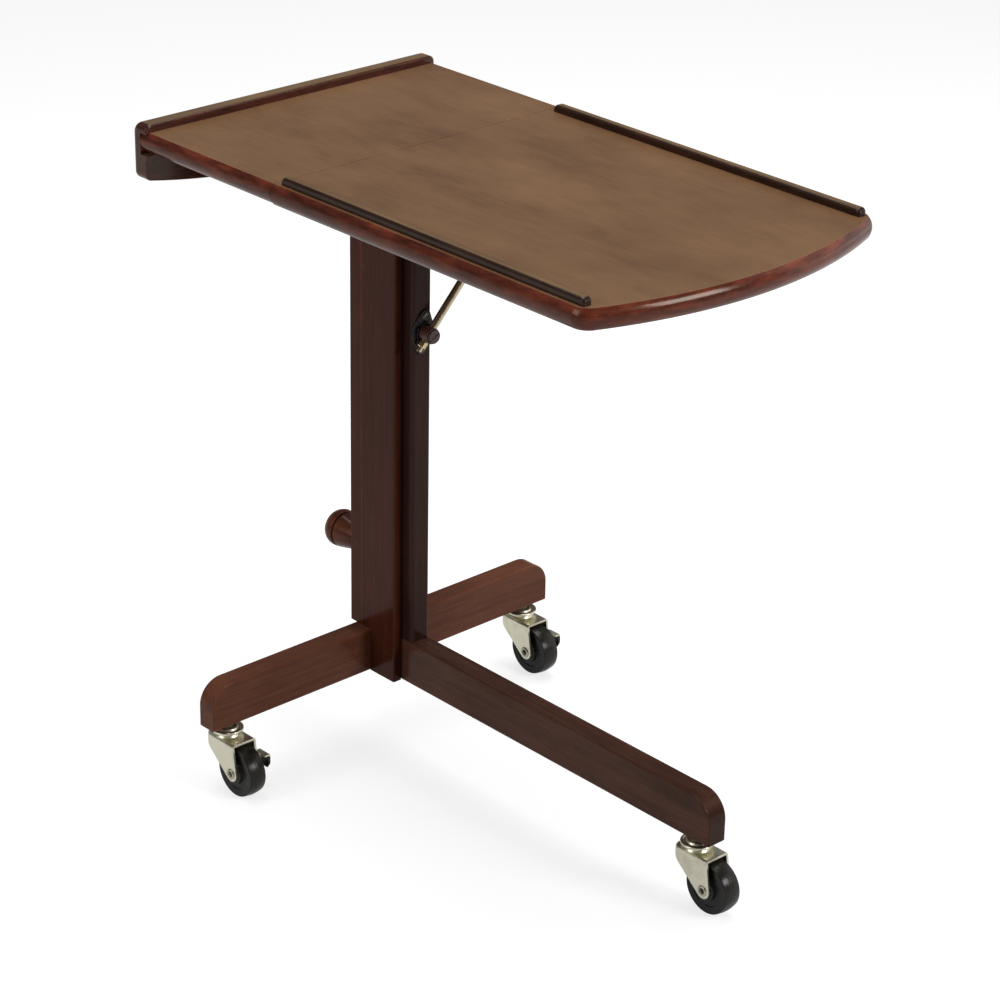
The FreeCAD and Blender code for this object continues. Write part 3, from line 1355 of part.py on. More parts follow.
os.makedirs("parts", exist_ok=True)
for thing in nodes:
    thing.Shape.exportStep(f"parts/{thing.Label}.step")
    box = thing.Shape.BoundBox
    print(
        f"{thing.Label:22s} X {box.XMin:8.1f} {box.XMax:8.1f}  Y {box.YMin:8.1f} {box.YMax:8.1f}"
        f"  Z {box.ZMin:8.1f} {box.ZMax:8.1f}  solids {len(thing.Shape.Solids)}"
    )
print(len(nodes), "pieces")
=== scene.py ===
# %% [markdown]
# # A wheeled writing table
# The table stands on a T-shaped wooden foot with three casters. A post slides in a wooden channel and
# carries a short fixed leaf and a long leaf that tilts. The boards arrive as exact solids, so they need
# only their finish. The fittings are small, round and shiny, so they are made again here as meshes with
# the rolled rims, eased edges and fine steps that catch light.

# %% Load the frame
import json
import math

import bmesh
import bpy
from mathutils import Matrix, Vector


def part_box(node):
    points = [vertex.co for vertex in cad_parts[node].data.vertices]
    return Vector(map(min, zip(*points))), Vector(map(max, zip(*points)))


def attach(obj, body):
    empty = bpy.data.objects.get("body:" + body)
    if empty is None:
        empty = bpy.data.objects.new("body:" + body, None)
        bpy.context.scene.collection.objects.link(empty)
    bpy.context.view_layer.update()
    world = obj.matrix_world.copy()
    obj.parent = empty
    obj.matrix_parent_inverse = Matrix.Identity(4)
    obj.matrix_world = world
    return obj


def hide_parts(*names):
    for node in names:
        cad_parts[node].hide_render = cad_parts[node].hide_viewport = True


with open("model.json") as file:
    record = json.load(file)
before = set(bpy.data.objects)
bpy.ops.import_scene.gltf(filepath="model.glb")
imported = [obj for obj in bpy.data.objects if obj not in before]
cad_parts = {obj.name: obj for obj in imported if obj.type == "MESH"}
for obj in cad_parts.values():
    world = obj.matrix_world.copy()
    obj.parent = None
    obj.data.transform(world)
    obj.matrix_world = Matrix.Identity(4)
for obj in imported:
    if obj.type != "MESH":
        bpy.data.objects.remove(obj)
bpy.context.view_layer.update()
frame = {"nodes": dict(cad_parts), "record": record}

nodes = frame["nodes"]
MM = 0.001

# %% [markdown]
# ## The camera
# A product picture is taken from far away with a long lens, so that the legs of the table keep their
# lengths. The camera is described as a photographer would: which way it looks from, how high, how far,
# and with which lens. Three numbers for the viewing direction are easier to correct than a matrix.

# %% Camera
VIEW_AZIMUTH = math.radians(47.122)
VIEW_ELEVATION = math.radians(24.979)
VIEW_ROLL = math.radians(1.065)
VIEW_DISTANCE = 3.27897
LOOK_AT = Vector((-0.00168, 0.00215, 0.34747))
LENS = 111.53
SENSOR = 36.0


def viewing_axes(azimuth, elevation, roll):
    """Right, up and backward axes of a camera that stands at this azimuth and elevation."""
    back = Vector((
        math.sin(azimuth) * math.cos(elevation),
        -math.cos(azimuth) * math.cos(elevation),
        math.sin(elevation),
    ))
    right = Vector((0, 0, 1)).cross(back).normalized()
    up = back.cross(right)
    tilted_right = right * math.cos(roll) + up * math.sin(roll)
    tilted_up = up * math.cos(roll) - right * math.sin(roll)
    return tilted_right, tilted_up, back


right, up, back = viewing_axes(VIEW_AZIMUTH, VIEW_ELEVATION, VIEW_ROLL)
lens = bpy.data.cameras.new("camera")
lens.lens = LENS
lens.sensor_width = SENSOR
lens.clip_end = 50
camera = bpy.data.objects.new("camera", lens)
bpy.context.scene.collection.objects.link(camera)
facing = Matrix((right, up, back)).transposed().to_4x4()
camera.matrix_world = Matrix.Translation(LOOK_AT + back * VIEW_DISTANCE) @ facing
bpy.context.scene.camera = camera
print("camera stands at", [round(value, 3) for value in camera.matrix_world.translation])

# %% [markdown]
# ## Nodes in code
# A material here is a small graph. Two helpers keep its code short: one makes a node and sets it up,
# one starts a material with its shader. A node's inputs take either a plain value or another node's
# output, so a graph can be written as nested calls.


# %% Helpers for material graphs
BEVEL_SAMPLES = 4


def feed(tree, socket, value):
    """Give a socket a plain value, or link another node's output to it."""
    if isinstance(value, bpy.types.NodeSocket):
        tree.links.new(value, socket)
    else:
        socket.default_value = value


def put(tree, kind, inputs=None, **settings):
    """Add a shader node. inputs maps a socket's name or number to a value or to another socket."""
    made = tree.nodes.new(kind)
    for name, value in settings.items():
        setattr(made, name, value)
    for name, value in (inputs or {}).items():
        feed(tree, made.inputs[name], value)
    return made


def new_material(name):
    """A material with an empty graph but for its output and main shader."""
    material = bpy.data.materials.new(name)
    material.use_nodes = True
    tree = material.node_tree
    tree.nodes.clear()
    shader = tree.nodes.new("ShaderNodeBsdfPrincipled")
    output = tree.nodes.new("ShaderNodeOutputMaterial")
    tree.links.new(shader.outputs[0], output.inputs["Surface"])
    return material, tree, shader


def colour(red, green, blue):
    """A display colour from 0 to 255 as the linear colour that shaders use."""
    linear = [((v / 255 + 0.055) / 1.055) ** 2.4 if v > 10 else v / 255 / 12.92 for v in (red, green, blue)]
    return (*linear, 1)


def dimmed(tint, share):
    """A colour with its light reduced to a share."""
    return tuple(share * value for value in tint[:3]) + (1,)


def ramp(tree, factor, *stops):
    """A colour ramp from (position, colour) stops."""
    made = put(tree, "ShaderNodeValToRGB", {"Fac": factor})
    while len(made.color_ramp.elements) < len(stops):
        made.color_ramp.elements.new(0.5)
    for element, (position, tint) in zip(made.color_ramp.elements, stops):
        element.position = position
        element.color = tint
    return made.outputs["Color"]


def maths(tree, operation, first, second=0.5, third=0.0):
    """One sum on numbers. Operations that need fewer numbers leave out the rest."""
    made = put(tree, "ShaderNodeMath", {0: first, 1: second, 2: third}, operation=operation)
    return made.outputs[0]


def spread(tree, value, low, high, to_low=0.0, to_high=1.0):
    """Map a value from one range to another, held at both ends."""
    ranges = {"Value": value, "From Min": low, "From Max": high, "To Min": to_low, "To Max": to_high}
    return put(tree, "ShaderNodeMapRange", ranges).outputs[0]


def blend(tree, factor, first, second):
    """Mix two colours."""
    made = put(tree, "ShaderNodeMix", data_type="RGBA")
    for number, value in ((0, factor), (6, first), (7, second)):
        feed(tree, made.inputs[number], value)
    return made.outputs[2]


def noise(tree, place, scale, detail=4, rough=0.5):
    """Cloudy noise from 0 to 1."""
    inputs = {"Vector": place, "Scale": scale, "Detail": detail, "Roughness": rough}
    return put(tree, "ShaderNodeTexNoise", inputs).outputs["Fac"]


def stretched(tree, scale):
    """The piece's own coordinates in metres, scaled along each axis."""
    place = put(tree, "ShaderNodeTexCoord").outputs["Object"]
    return put(tree, "ShaderNodeMapping", {"Vector": place, "Scale": scale}).outputs[0]


def eased(tree, radius):
    """The surface normal with every sharp edge rounded to a radius in millimetres."""
    return put(tree, "ShaderNodeBevel", {"Radius": radius * MM}, samples=BEVEL_SAMPLES).outputs[0]


def facing_along(tree, axis):
    """How far a face looks along an axis of the piece: 1 with the axis, -1 against it."""
    facing = put(tree, "ShaderNodeTexCoord").outputs["Normal"]
    return put(tree, "ShaderNodeSeparateXYZ", {0: facing}).outputs[axis]


def edges_of(tree, radius):
    """1 on sharp edges and 0 elsewhere: where the eased normal leaves the real one."""
    real = put(tree, "ShaderNodeNewGeometry").outputs["Normal"]
    agree = put(tree, "ShaderNodeVectorMath", {0: real, 1: eased(tree, radius)}, operation="DOT_PRODUCT")
    return spread(tree, agree.outputs["Value"], 0.985, 0.84)


# %% [markdown]
# ## Stained and varnished wood
# Every board of the table is the same kind of thing: a fine-grained hardwood, stained brown and
# sprayed with satin varnish. Four scales make it believable: slow clouds where the stain took
# unevenly, faint growth bands, fibres many times longer than wide, and short dark pores. The edges
# are painted redder and lighter: partly thin stain where they were sanded, partly a painted highlight
# where the rounded edges catch the light. A bevel node does two jobs: its rounded normal lets each
# edge catch the light, and where it leaves the real normal there is an edge.


# %% Grain
GRAIN_STRETCH = 22
FIBRE_SCALE = 420
PORE_SCALE = 900
BAND_SCALE = 55
FIBRE_SHARE = 0.30
CLOUD_SHARE = 0.75


def along_grain(tree, along, squeeze, other=1):
    """Coordinates squeezed along the grain, so that a pattern made in them runs in long streaks."""
    scale = [other, other, other]
    scale["XYZ".index(along)] = squeeze
    return stretched(tree, scale)


def grain(tree, along, cloud, streaks=0.25):
    """The stain's strength from 0 to 1, and its separate layers. streaks is the share of the growth bands."""
    fibres = noise(tree, along_grain(tree, along, 1 / GRAIN_STRETCH), FIBRE_SCALE, 5, 0.62)
    pores = noise(tree, along_grain(tree, along, 2 / GRAIN_STRETCH, 2), PORE_SCALE, 2)
    clouds = noise(tree, along_grain(tree, along, 0.55), cloud, 5, 0.62)
    bands = noise(tree, along_grain(tree, along, 0.05), BAND_SCALE, 3, 0.55)
    slow = maths(tree, "MULTIPLY_ADD", bands, streaks, maths(tree, "MULTIPLY", clouds, CLOUD_SHARE - streaks))
    figure = maths(tree, "MULTIPLY_ADD", fibres, FIBRE_SHARE, slow)
    return figure, fibres, clouds, spread(tree, pores, 0.60, 0.74)


# %% Varnished wood
WARM_VARNISH = (1.0, 0.62, 0.46, 1)
STAIN_STEPS = (0.38, 0.53, 0.70)
# Share of the edge colour on board edges: sanded wear and painted highlight together.
BOARD_WEAR_AND_HIGHLIGHT = 0.6
BOARD_EASE = 1.2


def varnished(tree, shader, stain, figure, fibres, gloss, ease):
    """Join the stain and the varnish's sheen and skin to the shader."""
    feed(tree, shader.inputs["Base Color"], stain)
    feed(tree, shader.inputs["Roughness"], spread(tree, fibres, 0.3, 0.7, gloss - 0.05, gloss + 0.07))
    rounded = eased(tree, ease)
    skin = {"Strength": 0.10, "Distance": 0.2 * MM, "Height": figure, "Normal": rounded}
    feed(tree, shader.inputs["Normal"], put(tree, "ShaderNodeBump", skin).outputs[0])
    feed(tree, shader.inputs["Coat Normal"], rounded)
    shader.inputs["Coat Weight"].default_value = 0.12
    shader.inputs["Coat Roughness"].default_value = 0.10


def stained(tree, layers, dark, mid, light, edge, wear_and_highlight, pore=0.45, width=2.2):
    """Colour of stained wood with pores, and edges in the edge colour: part sanded wear, part painted highlight."""
    figure, fibres, clouds, pores = layers
    stain = ramp(tree, figure, *zip(STAIN_STEPS, (dark, mid, light)))
    stain = blend(tree, maths(tree, "MULTIPLY", pores, pore), stain, dark)
    patchy = spread(tree, clouds, 0.35, 0.65, 0.4, 1.0)
    # Sharp edges take the edge colour: partly sanded wear, partly a painted highlight.
    worn_and_lit = maths(tree, "MULTIPLY", edges_of(tree, width), maths(tree, "MULTIPLY", patchy, wear_and_highlight))
    return blend(tree, worn_and_lit, stain, edge)


def shades(*triples):
    """Several display colours at once, from dark to light."""
    return tuple(colour(*triple) for triple in triples)


def board_finish(name, along, dark, mid, light, edge, gloss=0.22, cloud=9, shine=0.17, soak=0):
    """Varnished board of one colour all round. Its end grain may soak up more stain."""
    material, tree, shader = new_material(name)
    layers = grain(tree, along, cloud)
    stain = stained(tree, layers, dark, mid, light, edge, BOARD_WEAR_AND_HIGHLIGHT)
    if soak:
        endwise = maths(tree, "ABSOLUTE", facing_along(tree, along))
        soaked = spread(tree, endwise, 0.7, 0.98, 0, soak)
        stain = blend(tree, soaked, stain, dimmed(dark, 0.5))
    varnished(tree, shader, stain, layers[0], layers[1], gloss, BOARD_EASE)
    shader.inputs["Specular IOR Level"].default_value = shine
    shader.inputs["Specular Tint"].default_value = WARM_VARNISH
    return material


# %% Finishes of the boards
# The fourth colour of each board is its edge colour, part sanded wear and part painted highlight.
wood_post = board_finish(
    "wood_post", "Z", *shades((52, 24, 16), (69, 33, 22), (88, 45, 31), (156, 70, 44)), shine=0.07,
)
wood_inner = board_finish(
    "wood_inner", "Z", *shades((37, 22, 18), (50, 31, 26), (65, 41, 34), (122, 60, 44)), shine=0.07,
)
wood_bar = board_finish(
    "wood_bar", "Y", *shades((70, 39, 28), (98, 58, 42), (122, 76, 56), (170, 96, 64)), shine=0.1,
)
wood_leg = board_finish(
    "wood_leg", "X", *shades((57, 35, 27), (82, 52, 41), (106, 71, 57), (152, 88, 60)), shine=0.1, soak=0.85,
)
wood_knob = board_finish(
    "wood_knob", "X", *shades((64, 32, 22), (92, 50, 35), (118, 68, 47), (150, 84, 56)), cloud=40,
)
wood_bare = board_finish(
    "wood_bare", "X", *shades((120, 84, 54), (152, 112, 74), (178, 138, 96), (186, 140, 96)),
    gloss=0.55, shine=0.2,
)
print("boards finished with edges eased by", BOARD_EASE, "mm")

# %% [markdown]
# ### The leaves
# The flat top of a leaf is painted paler than its solid, rounded edge, which is stained maroon: the
# paler top is a painted reflection of the bright surroundings on the varnish, and the upper part of
# the rounded edge gets painted shade. The lip and the paper rails are painted alike, paler on top and
# dark on their sides. One material does both: the piece's own normal says which way the surface
# faces, and it keeps doing so while the leaf tilts, because it is read in the piece's coordinates.


# %% Leaf finish
# Edge colours: painted highlight lines on the edges of the pale tops, seams and rails; on the solid, part sanded
# wear and part painted highlight.
TOP_EDGE_HIGHLIGHT = colour(196, 140, 104)
SOLID_EDGE_WEAR_AND_HIGHLIGHT = colour(128, 74, 52)
LEAF_VARNISH = (1.0, 0.84, 0.62, 1)
FLAT = (0.955, 0.995)
TOP_ROUGHNESS = 0.34


def leaf_finish(name, along, sheen_top_shades, edge_shades, shine=0.2, polish=0.2):
    """Painted reflection as a paler stain on the flat top, dark stain on the rounded edges and underneath."""
    material, tree, shader = new_material(name)
    layers = grain(tree, along, 12, streaks=0.08)
    dust = noise(tree, stretched(tree, (1, 1, 1)), 260, 4, 0.7)
    painted_sheen_top = stained(tree, layers, *sheen_top_shades, TOP_EDGE_HIGHLIGHT, 0.95, pore=0.12, width=0.9)
    painted_sheen_top = blend(tree, spread(tree, dust, 0.52, 0.74, 0.0, 0.28), painted_sheen_top, sheen_top_shades[0])
    stripes = noise(tree, stretched(tree, (1, 1, 5)), 34, 4, 0.6)
    striped = maths(tree, "MULTIPLY_ADD", stripes, 0.6, maths(tree, "MULTIPLY", layers[0], 0.4))
    solid = stained(tree, (striped, *layers[1:]), *edge_shades, SOLID_EDGE_WEAR_AND_HIGHLIGHT, 0.3)
    upward = facing_along(tree, "Z")
    # Painted shade: the upper part of the rounded edge is darkened towards the darkest stain.
    solid = blend(tree, spread(tree, upward, 0.6, 0.95, 0, 0.9), solid, edge_shades[0])
    # Painted reflection: faces that look up take the paler top colour.
    stain = blend(tree, spread(tree, upward, *FLAT), solid, painted_sheen_top)
    varnished(tree, shader, stain, layers[0], layers[1], 0.30, 0.6)
    level = spread(tree, maths(tree, "ABSOLUTE", upward), *FLAT, polish, TOP_ROUGHNESS)
    feed(tree, shader.inputs["Roughness"], level)
    shader.inputs["Specular IOR Level"].default_value = shine
    shader.inputs["Specular Tint"].default_value = LEAF_VARNISH
    shader.inputs["Coat Weight"].default_value = 0.22
    return material


# First three colours: the paler top, a painted reflection; last three: the dark stain of the sides.
wood_leaf = leaf_finish(
    "wood_leaf", "X",
    shades((92, 66, 45), (107, 78, 53), (118, 88, 61)), shades((54, 22, 16), (92, 40, 27), (128, 60, 40)),
)
wood_lip = leaf_finish(
    "wood_lip", "Y",
    shades((80, 60, 40), (98, 76, 52), (114, 90, 62)), shades((46, 22, 17), (72, 35, 28), (98, 50, 40)),
    shine=0.3,
)
wood_rail = leaf_finish(
    "wood_rail", "X",
    shades((84, 62, 42), (104, 80, 54), (122, 96, 66)), shades((32, 19, 15), (48, 27, 20), (66, 38, 28)),
    polish=0.3,
)
print("flat tops have a roughness of", TOP_ROUGHNESS)

# %% [markdown]
# ## Metal, lacquer and rubber
# The fittings are small but they catch the eye, because they are the only bright things. Plated steel
# is a full metal whose roughness varies a little with fine scratches and handling. Lacquer is a dark
# plastic-like coat. Rubber is nearly black, with a dusty tread.


# %% Metals
def plated(name, tint, rough=0.28, scratch=0.10, tarnish=None, spots=130, ease=0.5):
    """Plated or bright steel with fine scratches, a little tarnish and eased edges."""
    material, tree, shader = new_material(name)
    scratches = noise(tree, stretched(tree, (1, 1, 8)), 900, 3, 0.6)
    patches = noise(tree, stretched(tree, (1, 1, 1)), spots, 5, 0.65)
    shade = tarnish or dimmed(tint, 0.78)
    feed(tree, shader.inputs["Base Color"], blend(tree, spread(tree, patches, 0.46, 0.72), tint, shade))
    feed(tree, shader.inputs["Roughness"], maths(tree, "MULTIPLY_ADD", scratches, scratch, rough - scratch / 2))
    skin = {"Strength": 0.04, "Distance": 0.05 * MM, "Height": scratches, "Normal": eased(tree, ease)}
    feed(tree, shader.inputs["Normal"], put(tree, "ShaderNodeBump", skin).outputs[0])
    shader.inputs["Metallic"].default_value = 1
    return material


fork_plate = plated(
    "fork_plate", colour(232, 228, 206), tarnish=colour(204, 200, 180),
    rough=0.34, scratch=0.05, spots=40, ease=0.8,
)
race_chrome = plated("race_chrome", colour(236, 231, 208), rough=0.32, scratch=0.06)
# Painted shade: a darker steel for the caster nuts, which sit in the shade under the table.
shaded_nut_steel = plated("shaded_nut_steel", colour(128, 122, 108), rough=0.26)
bright_steel = plated("bright_steel", colour(200, 198, 190), rough=0.24)
dark_steel = plated("dark_steel", colour(96, 92, 84), rough=0.34)
zinc = plated("zinc", colour(188, 184, 168), rough=0.34)
rod_steel = plated("rod_steel", colour(206, 192, 160), rough=0.22, scratch=0.04, spots=60)
brass = plated("brass", colour(206, 190, 146), rough=0.22, tarnish=colour(156, 132, 88))
metals = (fork_plate, race_chrome, shaded_nut_steel, bright_steel, dark_steel, zinc, rod_steel, brass)
print("metals:", ", ".join(made.name for made in metals))


# %% Lacquer and rubber
def coated(name, tint, light, rough, pebbles=160, depth=0.06, shine=0.5, tread=None):
    """A dark coat or moulded rubber with an uneven skin. Faces that look away from Y may be a dusty tread."""
    material, tree, shader = new_material(name)
    skin = noise(tree, stretched(tree, (1, 1, 1)), pebbles, 6, 0.65)
    dust = spread(tree, edges_of(tree, 1.0), 0.0, 1.0, 0.0, 0.3)
    body = blend(tree, dust, ramp(tree, skin, (0.35, tint), (0.72, light)), light)
    if tread:
        outer = spread(tree, maths(tree, "ABSOLUTE", facing_along(tree, "Y")), 0.6, 0.3)
        patchy = spread(tree, skin, 0.35, 0.65, 0.25, 0.9)
        body = blend(tree, maths(tree, "MULTIPLY", outer, patchy), body, tread)
    feed(tree, shader.inputs["Base Color"], body)
    feed(tree, shader.inputs["Roughness"], spread(tree, skin, 0.3, 0.7, rough - 0.06, rough + 0.08))
    bump = {"Strength": depth, "Distance": 0.1 * MM, "Height": skin, "Normal": eased(tree, 0.6)}
    feed(tree, shader.inputs["Normal"], put(tree, "ShaderNodeBump", bump).outputs[0])
    shader.inputs["Specular IOR Level"].default_value = shine
    return material


black_enamel = coated("black_enamel", colour(8, 8, 8), colour(22, 20, 18), 0.30, shine=0.25)
hub_lacquer = coated("hub_lacquer", colour(54, 28, 25), colour(80, 44, 37), 0.30)
rubber = coated(
    "rubber", colour(14, 17, 15), colour(30, 31, 27), 0.28,
    pebbles=90, depth=0.08, shine=0.27, tread=colour(40, 34, 27),
)
# Black filler for the pedal's curl: painted shade where the inside of the curl lies in shadow.
curl_shade_black = coated("curl_shade_black", colour(12, 14, 13), colour(28, 28, 26), 0.5, pebbles=240, shine=0.3)
print("lacquers and rubbers:", ", ".join(made.name for made in (black_enamel, hub_lacquer, rubber, curl_shade_black)))

# %% [markdown]
# ## Dressing the solids
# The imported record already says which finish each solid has. A table from the record's slots to the
# materials made above dresses all of them at once.

# %% Dress every solid
FINISH = {
    "walnut_top": wood_leaf, "walnut_rail": wood_rail, "walnut_lip": wood_lip, "walnut_post": wood_inner,
    "walnut_board": wood_post, "walnut_foot": wood_bar, "walnut_knob": wood_knob, "hidden_timber": wood_bare,
    "dark_plug": wood_inner, "bright_steel": bright_steel, "zinc_steel": zinc, "satin_fork": fork_plate,
    "chrome_race": race_chrome, "black_plate": black_enamel, "hub_paint": hub_lacquer,
    "bronze_rod": rod_steel, "brass": brass, "brass_screw": brass, "black_rubber": rubber,
}
OWN_FINISH = {
    "leg": wood_leg, "strut_screws": dark_steel, "strut_lock_screw": hub_lacquer,
    "caster_stem_near": shaded_nut_steel, "caster_stem_far": shaded_nut_steel, "caster_stem_front": shaded_nut_steel,
}
slot_of = {part["node"]: part["material_slot"] for part in frame["record"]["subparts"]}


def finish_of(name):
    return OWN_FINISH.get(name, FINISH[slot_of[name]])


for name, thing in nodes.items():
    thing.data.materials.clear()
    thing.data.materials.append(finish_of(name))
print("dressed", len(nodes), "solids in", len({finish_of(name).name for name in nodes}), "finishes")

# %% [markdown]
# ## Turned pieces
# Wheels, races, rivets and the knob are all turned: one outline swept about an axis. Real turned and
# pressed pieces have no knife edges, so the outline is written as a few corners, each with its own
# radius, and a helper replaces every corner with a short arc. Sweeping it gives clean quads all round.


# %% Outlines with rounded corners
def softened(corners, closed=True, steps=6):
    """Replace each (x, y, radius) corner of an outline by an arc."""
    path = []
    for number, (x, y, radius) in enumerate(corners):
        here = Vector((x, y))
        at_end = not closed and number in (0, len(corners) - 1)
        if radius == 0 or at_end:
            path.append(here)
            continue
        before = Vector(corners[number - 1][:2]) - here
        after = Vector(corners[(number + 1) % len(corners)][:2]) - here
        half_angle = before.angle(after) / 2
        reach = min(radius / math.tan(half_angle), 0.49 * before.length, 0.49 * after.length)
        radius = reach * math.tan(half_angle)
        start = here + before.normalized() * reach
        end = here + after.normalized() * reach
        middle = here + (before.normalized() + after.normalized()).normalized() * (radius / math.sin(half_angle))
        first = math.atan2(start.y - middle.y, start.x - middle.x)
        swing = math.atan2(end.y - middle.y, end.x - middle.x) - first
        swing = (swing + math.pi) % (2 * math.pi) - math.pi
        for step in range(steps + 1):
            angle = first + swing * step / steps
            path.append(middle + radius * Vector((math.cos(angle), math.sin(angle))))
    return path


# %% Sweeping and placing
TURN_STEPS = 96
CREASE = math.radians(32)
AXES = {
    "Z": Matrix.Identity(3),
    "Y": Matrix(((1, 0, 0), (0, 0, 1), (0, -1, 0))),
    "X": Matrix(((0, 0, 1), (1, 0, 0), (0, 1, 0))),
}
bodies = frame["record"]["behaviour"]["bodies"]
body_of = {node: body for body, members in bodies.items() for node in members}


def sweep(outline, reach=None, closed=True):
    """Sweep (radius, height) points about Z in millimetres. reach(angle) may cap the radius."""
    shape = bmesh.new()
    rows = []
    for step in range(TURN_STEPS):
        angle = 2 * math.pi * step / TURN_STEPS
        limit = reach(angle) if reach else math.inf
        row = []
        for radius, height in outline:
            radius = min(radius, limit)
            row.append(shape.verts.new((radius * math.cos(angle), radius * math.sin(angle), height)))
        rows.append(row)
    count = len(outline) if closed else len(outline) - 1
    for step, row in enumerate(rows):
        following = rows[(step + 1) % TURN_STEPS]
        for number in range(count):
            after = (number + 1) % len(outline)
            shape.faces.new((row[number], following[number], following[after], row[after]))
    bmesh.ops.remove_doubles(shape, verts=shape.verts, dist=0.0005)
    bmesh.ops.recalc_face_normals(shape, faces=shape.faces)
    return shape


def place_piece(name, shape, finish, stands_for, axis="Z", at=(0, 0, 0)):
    """Turn a bmesh in millimetres into a piece that rides where the solid that it stands for rides."""
    turn = AXES[axis].to_4x4()
    bmesh.ops.transform(shape, matrix=Matrix.Translation(at) @ turn, verts=shape.verts)
    bmesh.ops.scale(shape, vec=(MM, MM, MM), verts=shape.verts)
    mesh = bpy.data.meshes.new(name)
    shape.to_mesh(mesh)
    shape.free()
    mesh.polygons.foreach_set("use_smooth", [True] * len(mesh.polygons))
    mesh.set_sharp_from_angle(angle=CREASE)
    mesh.materials.append(finish)
    piece = bpy.data.objects.new(name, mesh)
    bpy.context.scene.collection.objects.link(piece)
    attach(piece, body_of[stands_for])
    return piece


def replace(name, shape, *stands_for, finish=None, **placing):
    """Place a piece and hide the solids that it stands for."""
    piece = place_piece(name, shape, finish or finish_of(stands_for[0]), stands_for[0], **placing)
    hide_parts(*stands_for)
    return piece


def middle_of(node):
    """Centre of a solid's box in millimetres."""
    low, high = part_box(node)
    return [(a + b) / 2 / MM for a, b in zip(low, high)]


def mirrored(half):
    """A whole outline from the half of it on one side of the middle."""
    return softened(half + [(radius, -height, soft) for radius, height, soft in reversed(half)])


# %% [markdown]
# ## Casters
# Each caster has a moulded wheel. Its side steps in from the tyre to a flat ring, then to a recess, and
# out again to the hub. The tread is crowned and has the fine line that the two halves of a mould leave.

# %% Wheels
ENDS = ("near", "far", "front")
WHEEL_RADIUS = 29.5
MOULD_LINE_DEPTH = 0.08
wheel_outline = mirrored([
    (6.02, 13.2, 0.3), (12.6, 13.2, 0.9), (13.4, 9.2, 0.5), (19.4, 8.9, 0.6), (20.2, 9.9, 0.6),
    (24.6, 10.1, 0.6), (28.2, 10.5, 0.8), (28.9, 6.5, 12.0), (29.4, 3.2, 20.0), (WHEEL_RADIUS, 0.9, 0.5),
    (WHEEL_RADIUS - MOULD_LINE_DEPTH, 0.45, 0),
])
for end in ENDS:
    spot = middle_of(f"wheel_{end}")
    replace(f"tyre_{end}", sweep(wheel_outline), f"wheel_{end}", axis="Y", at=spot)
print("wheels of", 2 * WHEEL_RADIUS, "mm with", len(wheel_outline), "points in their outline")

# %% [markdown]
# The axle is a hollow rivet. Its ends are rolled over into a rounded ring, which is why a bright circle
# with a small dark centre shows on the fork. Behind the ring the bore narrows.

# %% Axle rivets
rivet_outline = mirrored([
    (2.5, 12.0, 0), (2.6, 14.8, 0.8), (3.5, 17.4, 0.7), (5.4, 17.4, 1.0), (6.4, 16.0, 0.3), (4.0, 16.0, 0),
])
for end in ENDS:
    replace(f"rivet_{end}", sweep(rivet_outline), f"axle_{end}", axis="Y", at=middle_of(f"axle_{end}"))
print("rivets", round(2 * max(height for radius, height in rivet_outline), 1), "mm long")

# %% [markdown]
# The swivel race is a pressed ring with a rolled rim, a step where its cover is crimped on, and a slope
# up to the nut. Almost all of its look comes from the thin bright lines on these three roundings.

# %% Swivel races
race_outline = softened([
    (6.02, 0, 0.2), (14.6, 0, 0.4), (15.6, 0, 0.6), (18.0, 0.2, 1.5), (18.0, 3.3, 1.6), (14.9, 3.5, 1.4),
    (14.4, 2.3, 0.5), (12.4, 2.6, 0.8), (11.0, 4.6, 0.5), (6.02, 4.6, 0.2),
])
for end in ENDS:
    node = f"caster_race_{end}"
    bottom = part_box(node)[0][2] / MM
    x, y = middle_of(node)[:2]
    replace(f"race_{end}", sweep(race_outline), node, at=(x, y, bottom))
    print("race", end, "starts", round(bottom, 2), "mm above the floor")

# %% [markdown]
# ## The brake pedal
# A pedal is bent from one strip: a flat tab at the lugs, a rounded brow, and a lip that curls back
# under it. A black pad fills the curl: it is painted shade, a dark solid where the inside of the curl
# lies in shadow. The strip is drawn from the side as an outline and then given its length, with the
# strip's edges eased all round.


# %% Drawn and stretched shapes
def extruded(outline, low, high, ease=0.3, steps=3):
    """Give a closed outline a thickness along Z, with both rims eased."""
    shape = bmesh.new()
    face = shape.faces.new([shape.verts.new((x, y, low)) for x, y in outline])
    grown = bmesh.ops.extrude_face_region(shape, geom=[face])
    top = [item for item in grown["geom"] if isinstance(item, bmesh.types.BMVert)]
    bmesh.ops.translate(shape, verts=top, vec=(0, 0, high - low))
    bmesh.ops.recalc_face_normals(shape, faces=shape.faces)
    rims = [edge for edge in shape.edges if edge.calc_face_angle(0) > math.radians(60)]
    rims = [edge for edge in rims if abs(edge.verts[0].co.z - edge.verts[1].co.z) < 1e-6]
    if ease:
        bmesh.ops.bevel(shape, geom=rims, offset=ease, segments=steps, affect="EDGES", profile=0.5)
    return shape


# %% Brake pedals
TAB_ALONG = (18.3, 35.7)
NECK_ALONG = (22.4, 27.6)
CURL_SHADE_ALONG = (18, 36)
CURL_SHADE_EASE = 0.8
PEDAL_PIN = Vector((25, 19.7, 39))
tab_outline = softened([
    (23.4, 42.0, 0.8), (31.0, 42.0, 3.6), (31.0, 38.4, 0.4), (29.4, 38.4, 0.3), (29.3, 39.8, 1.2), (23.4, 39.8, 0.3),
])
neck_outline = softened([(19.0, 42.0, 0.4), (23.9, 41.9, 0.3), (23.9, 39.9, 0.3), (19.0, 39.8, 0.4)])
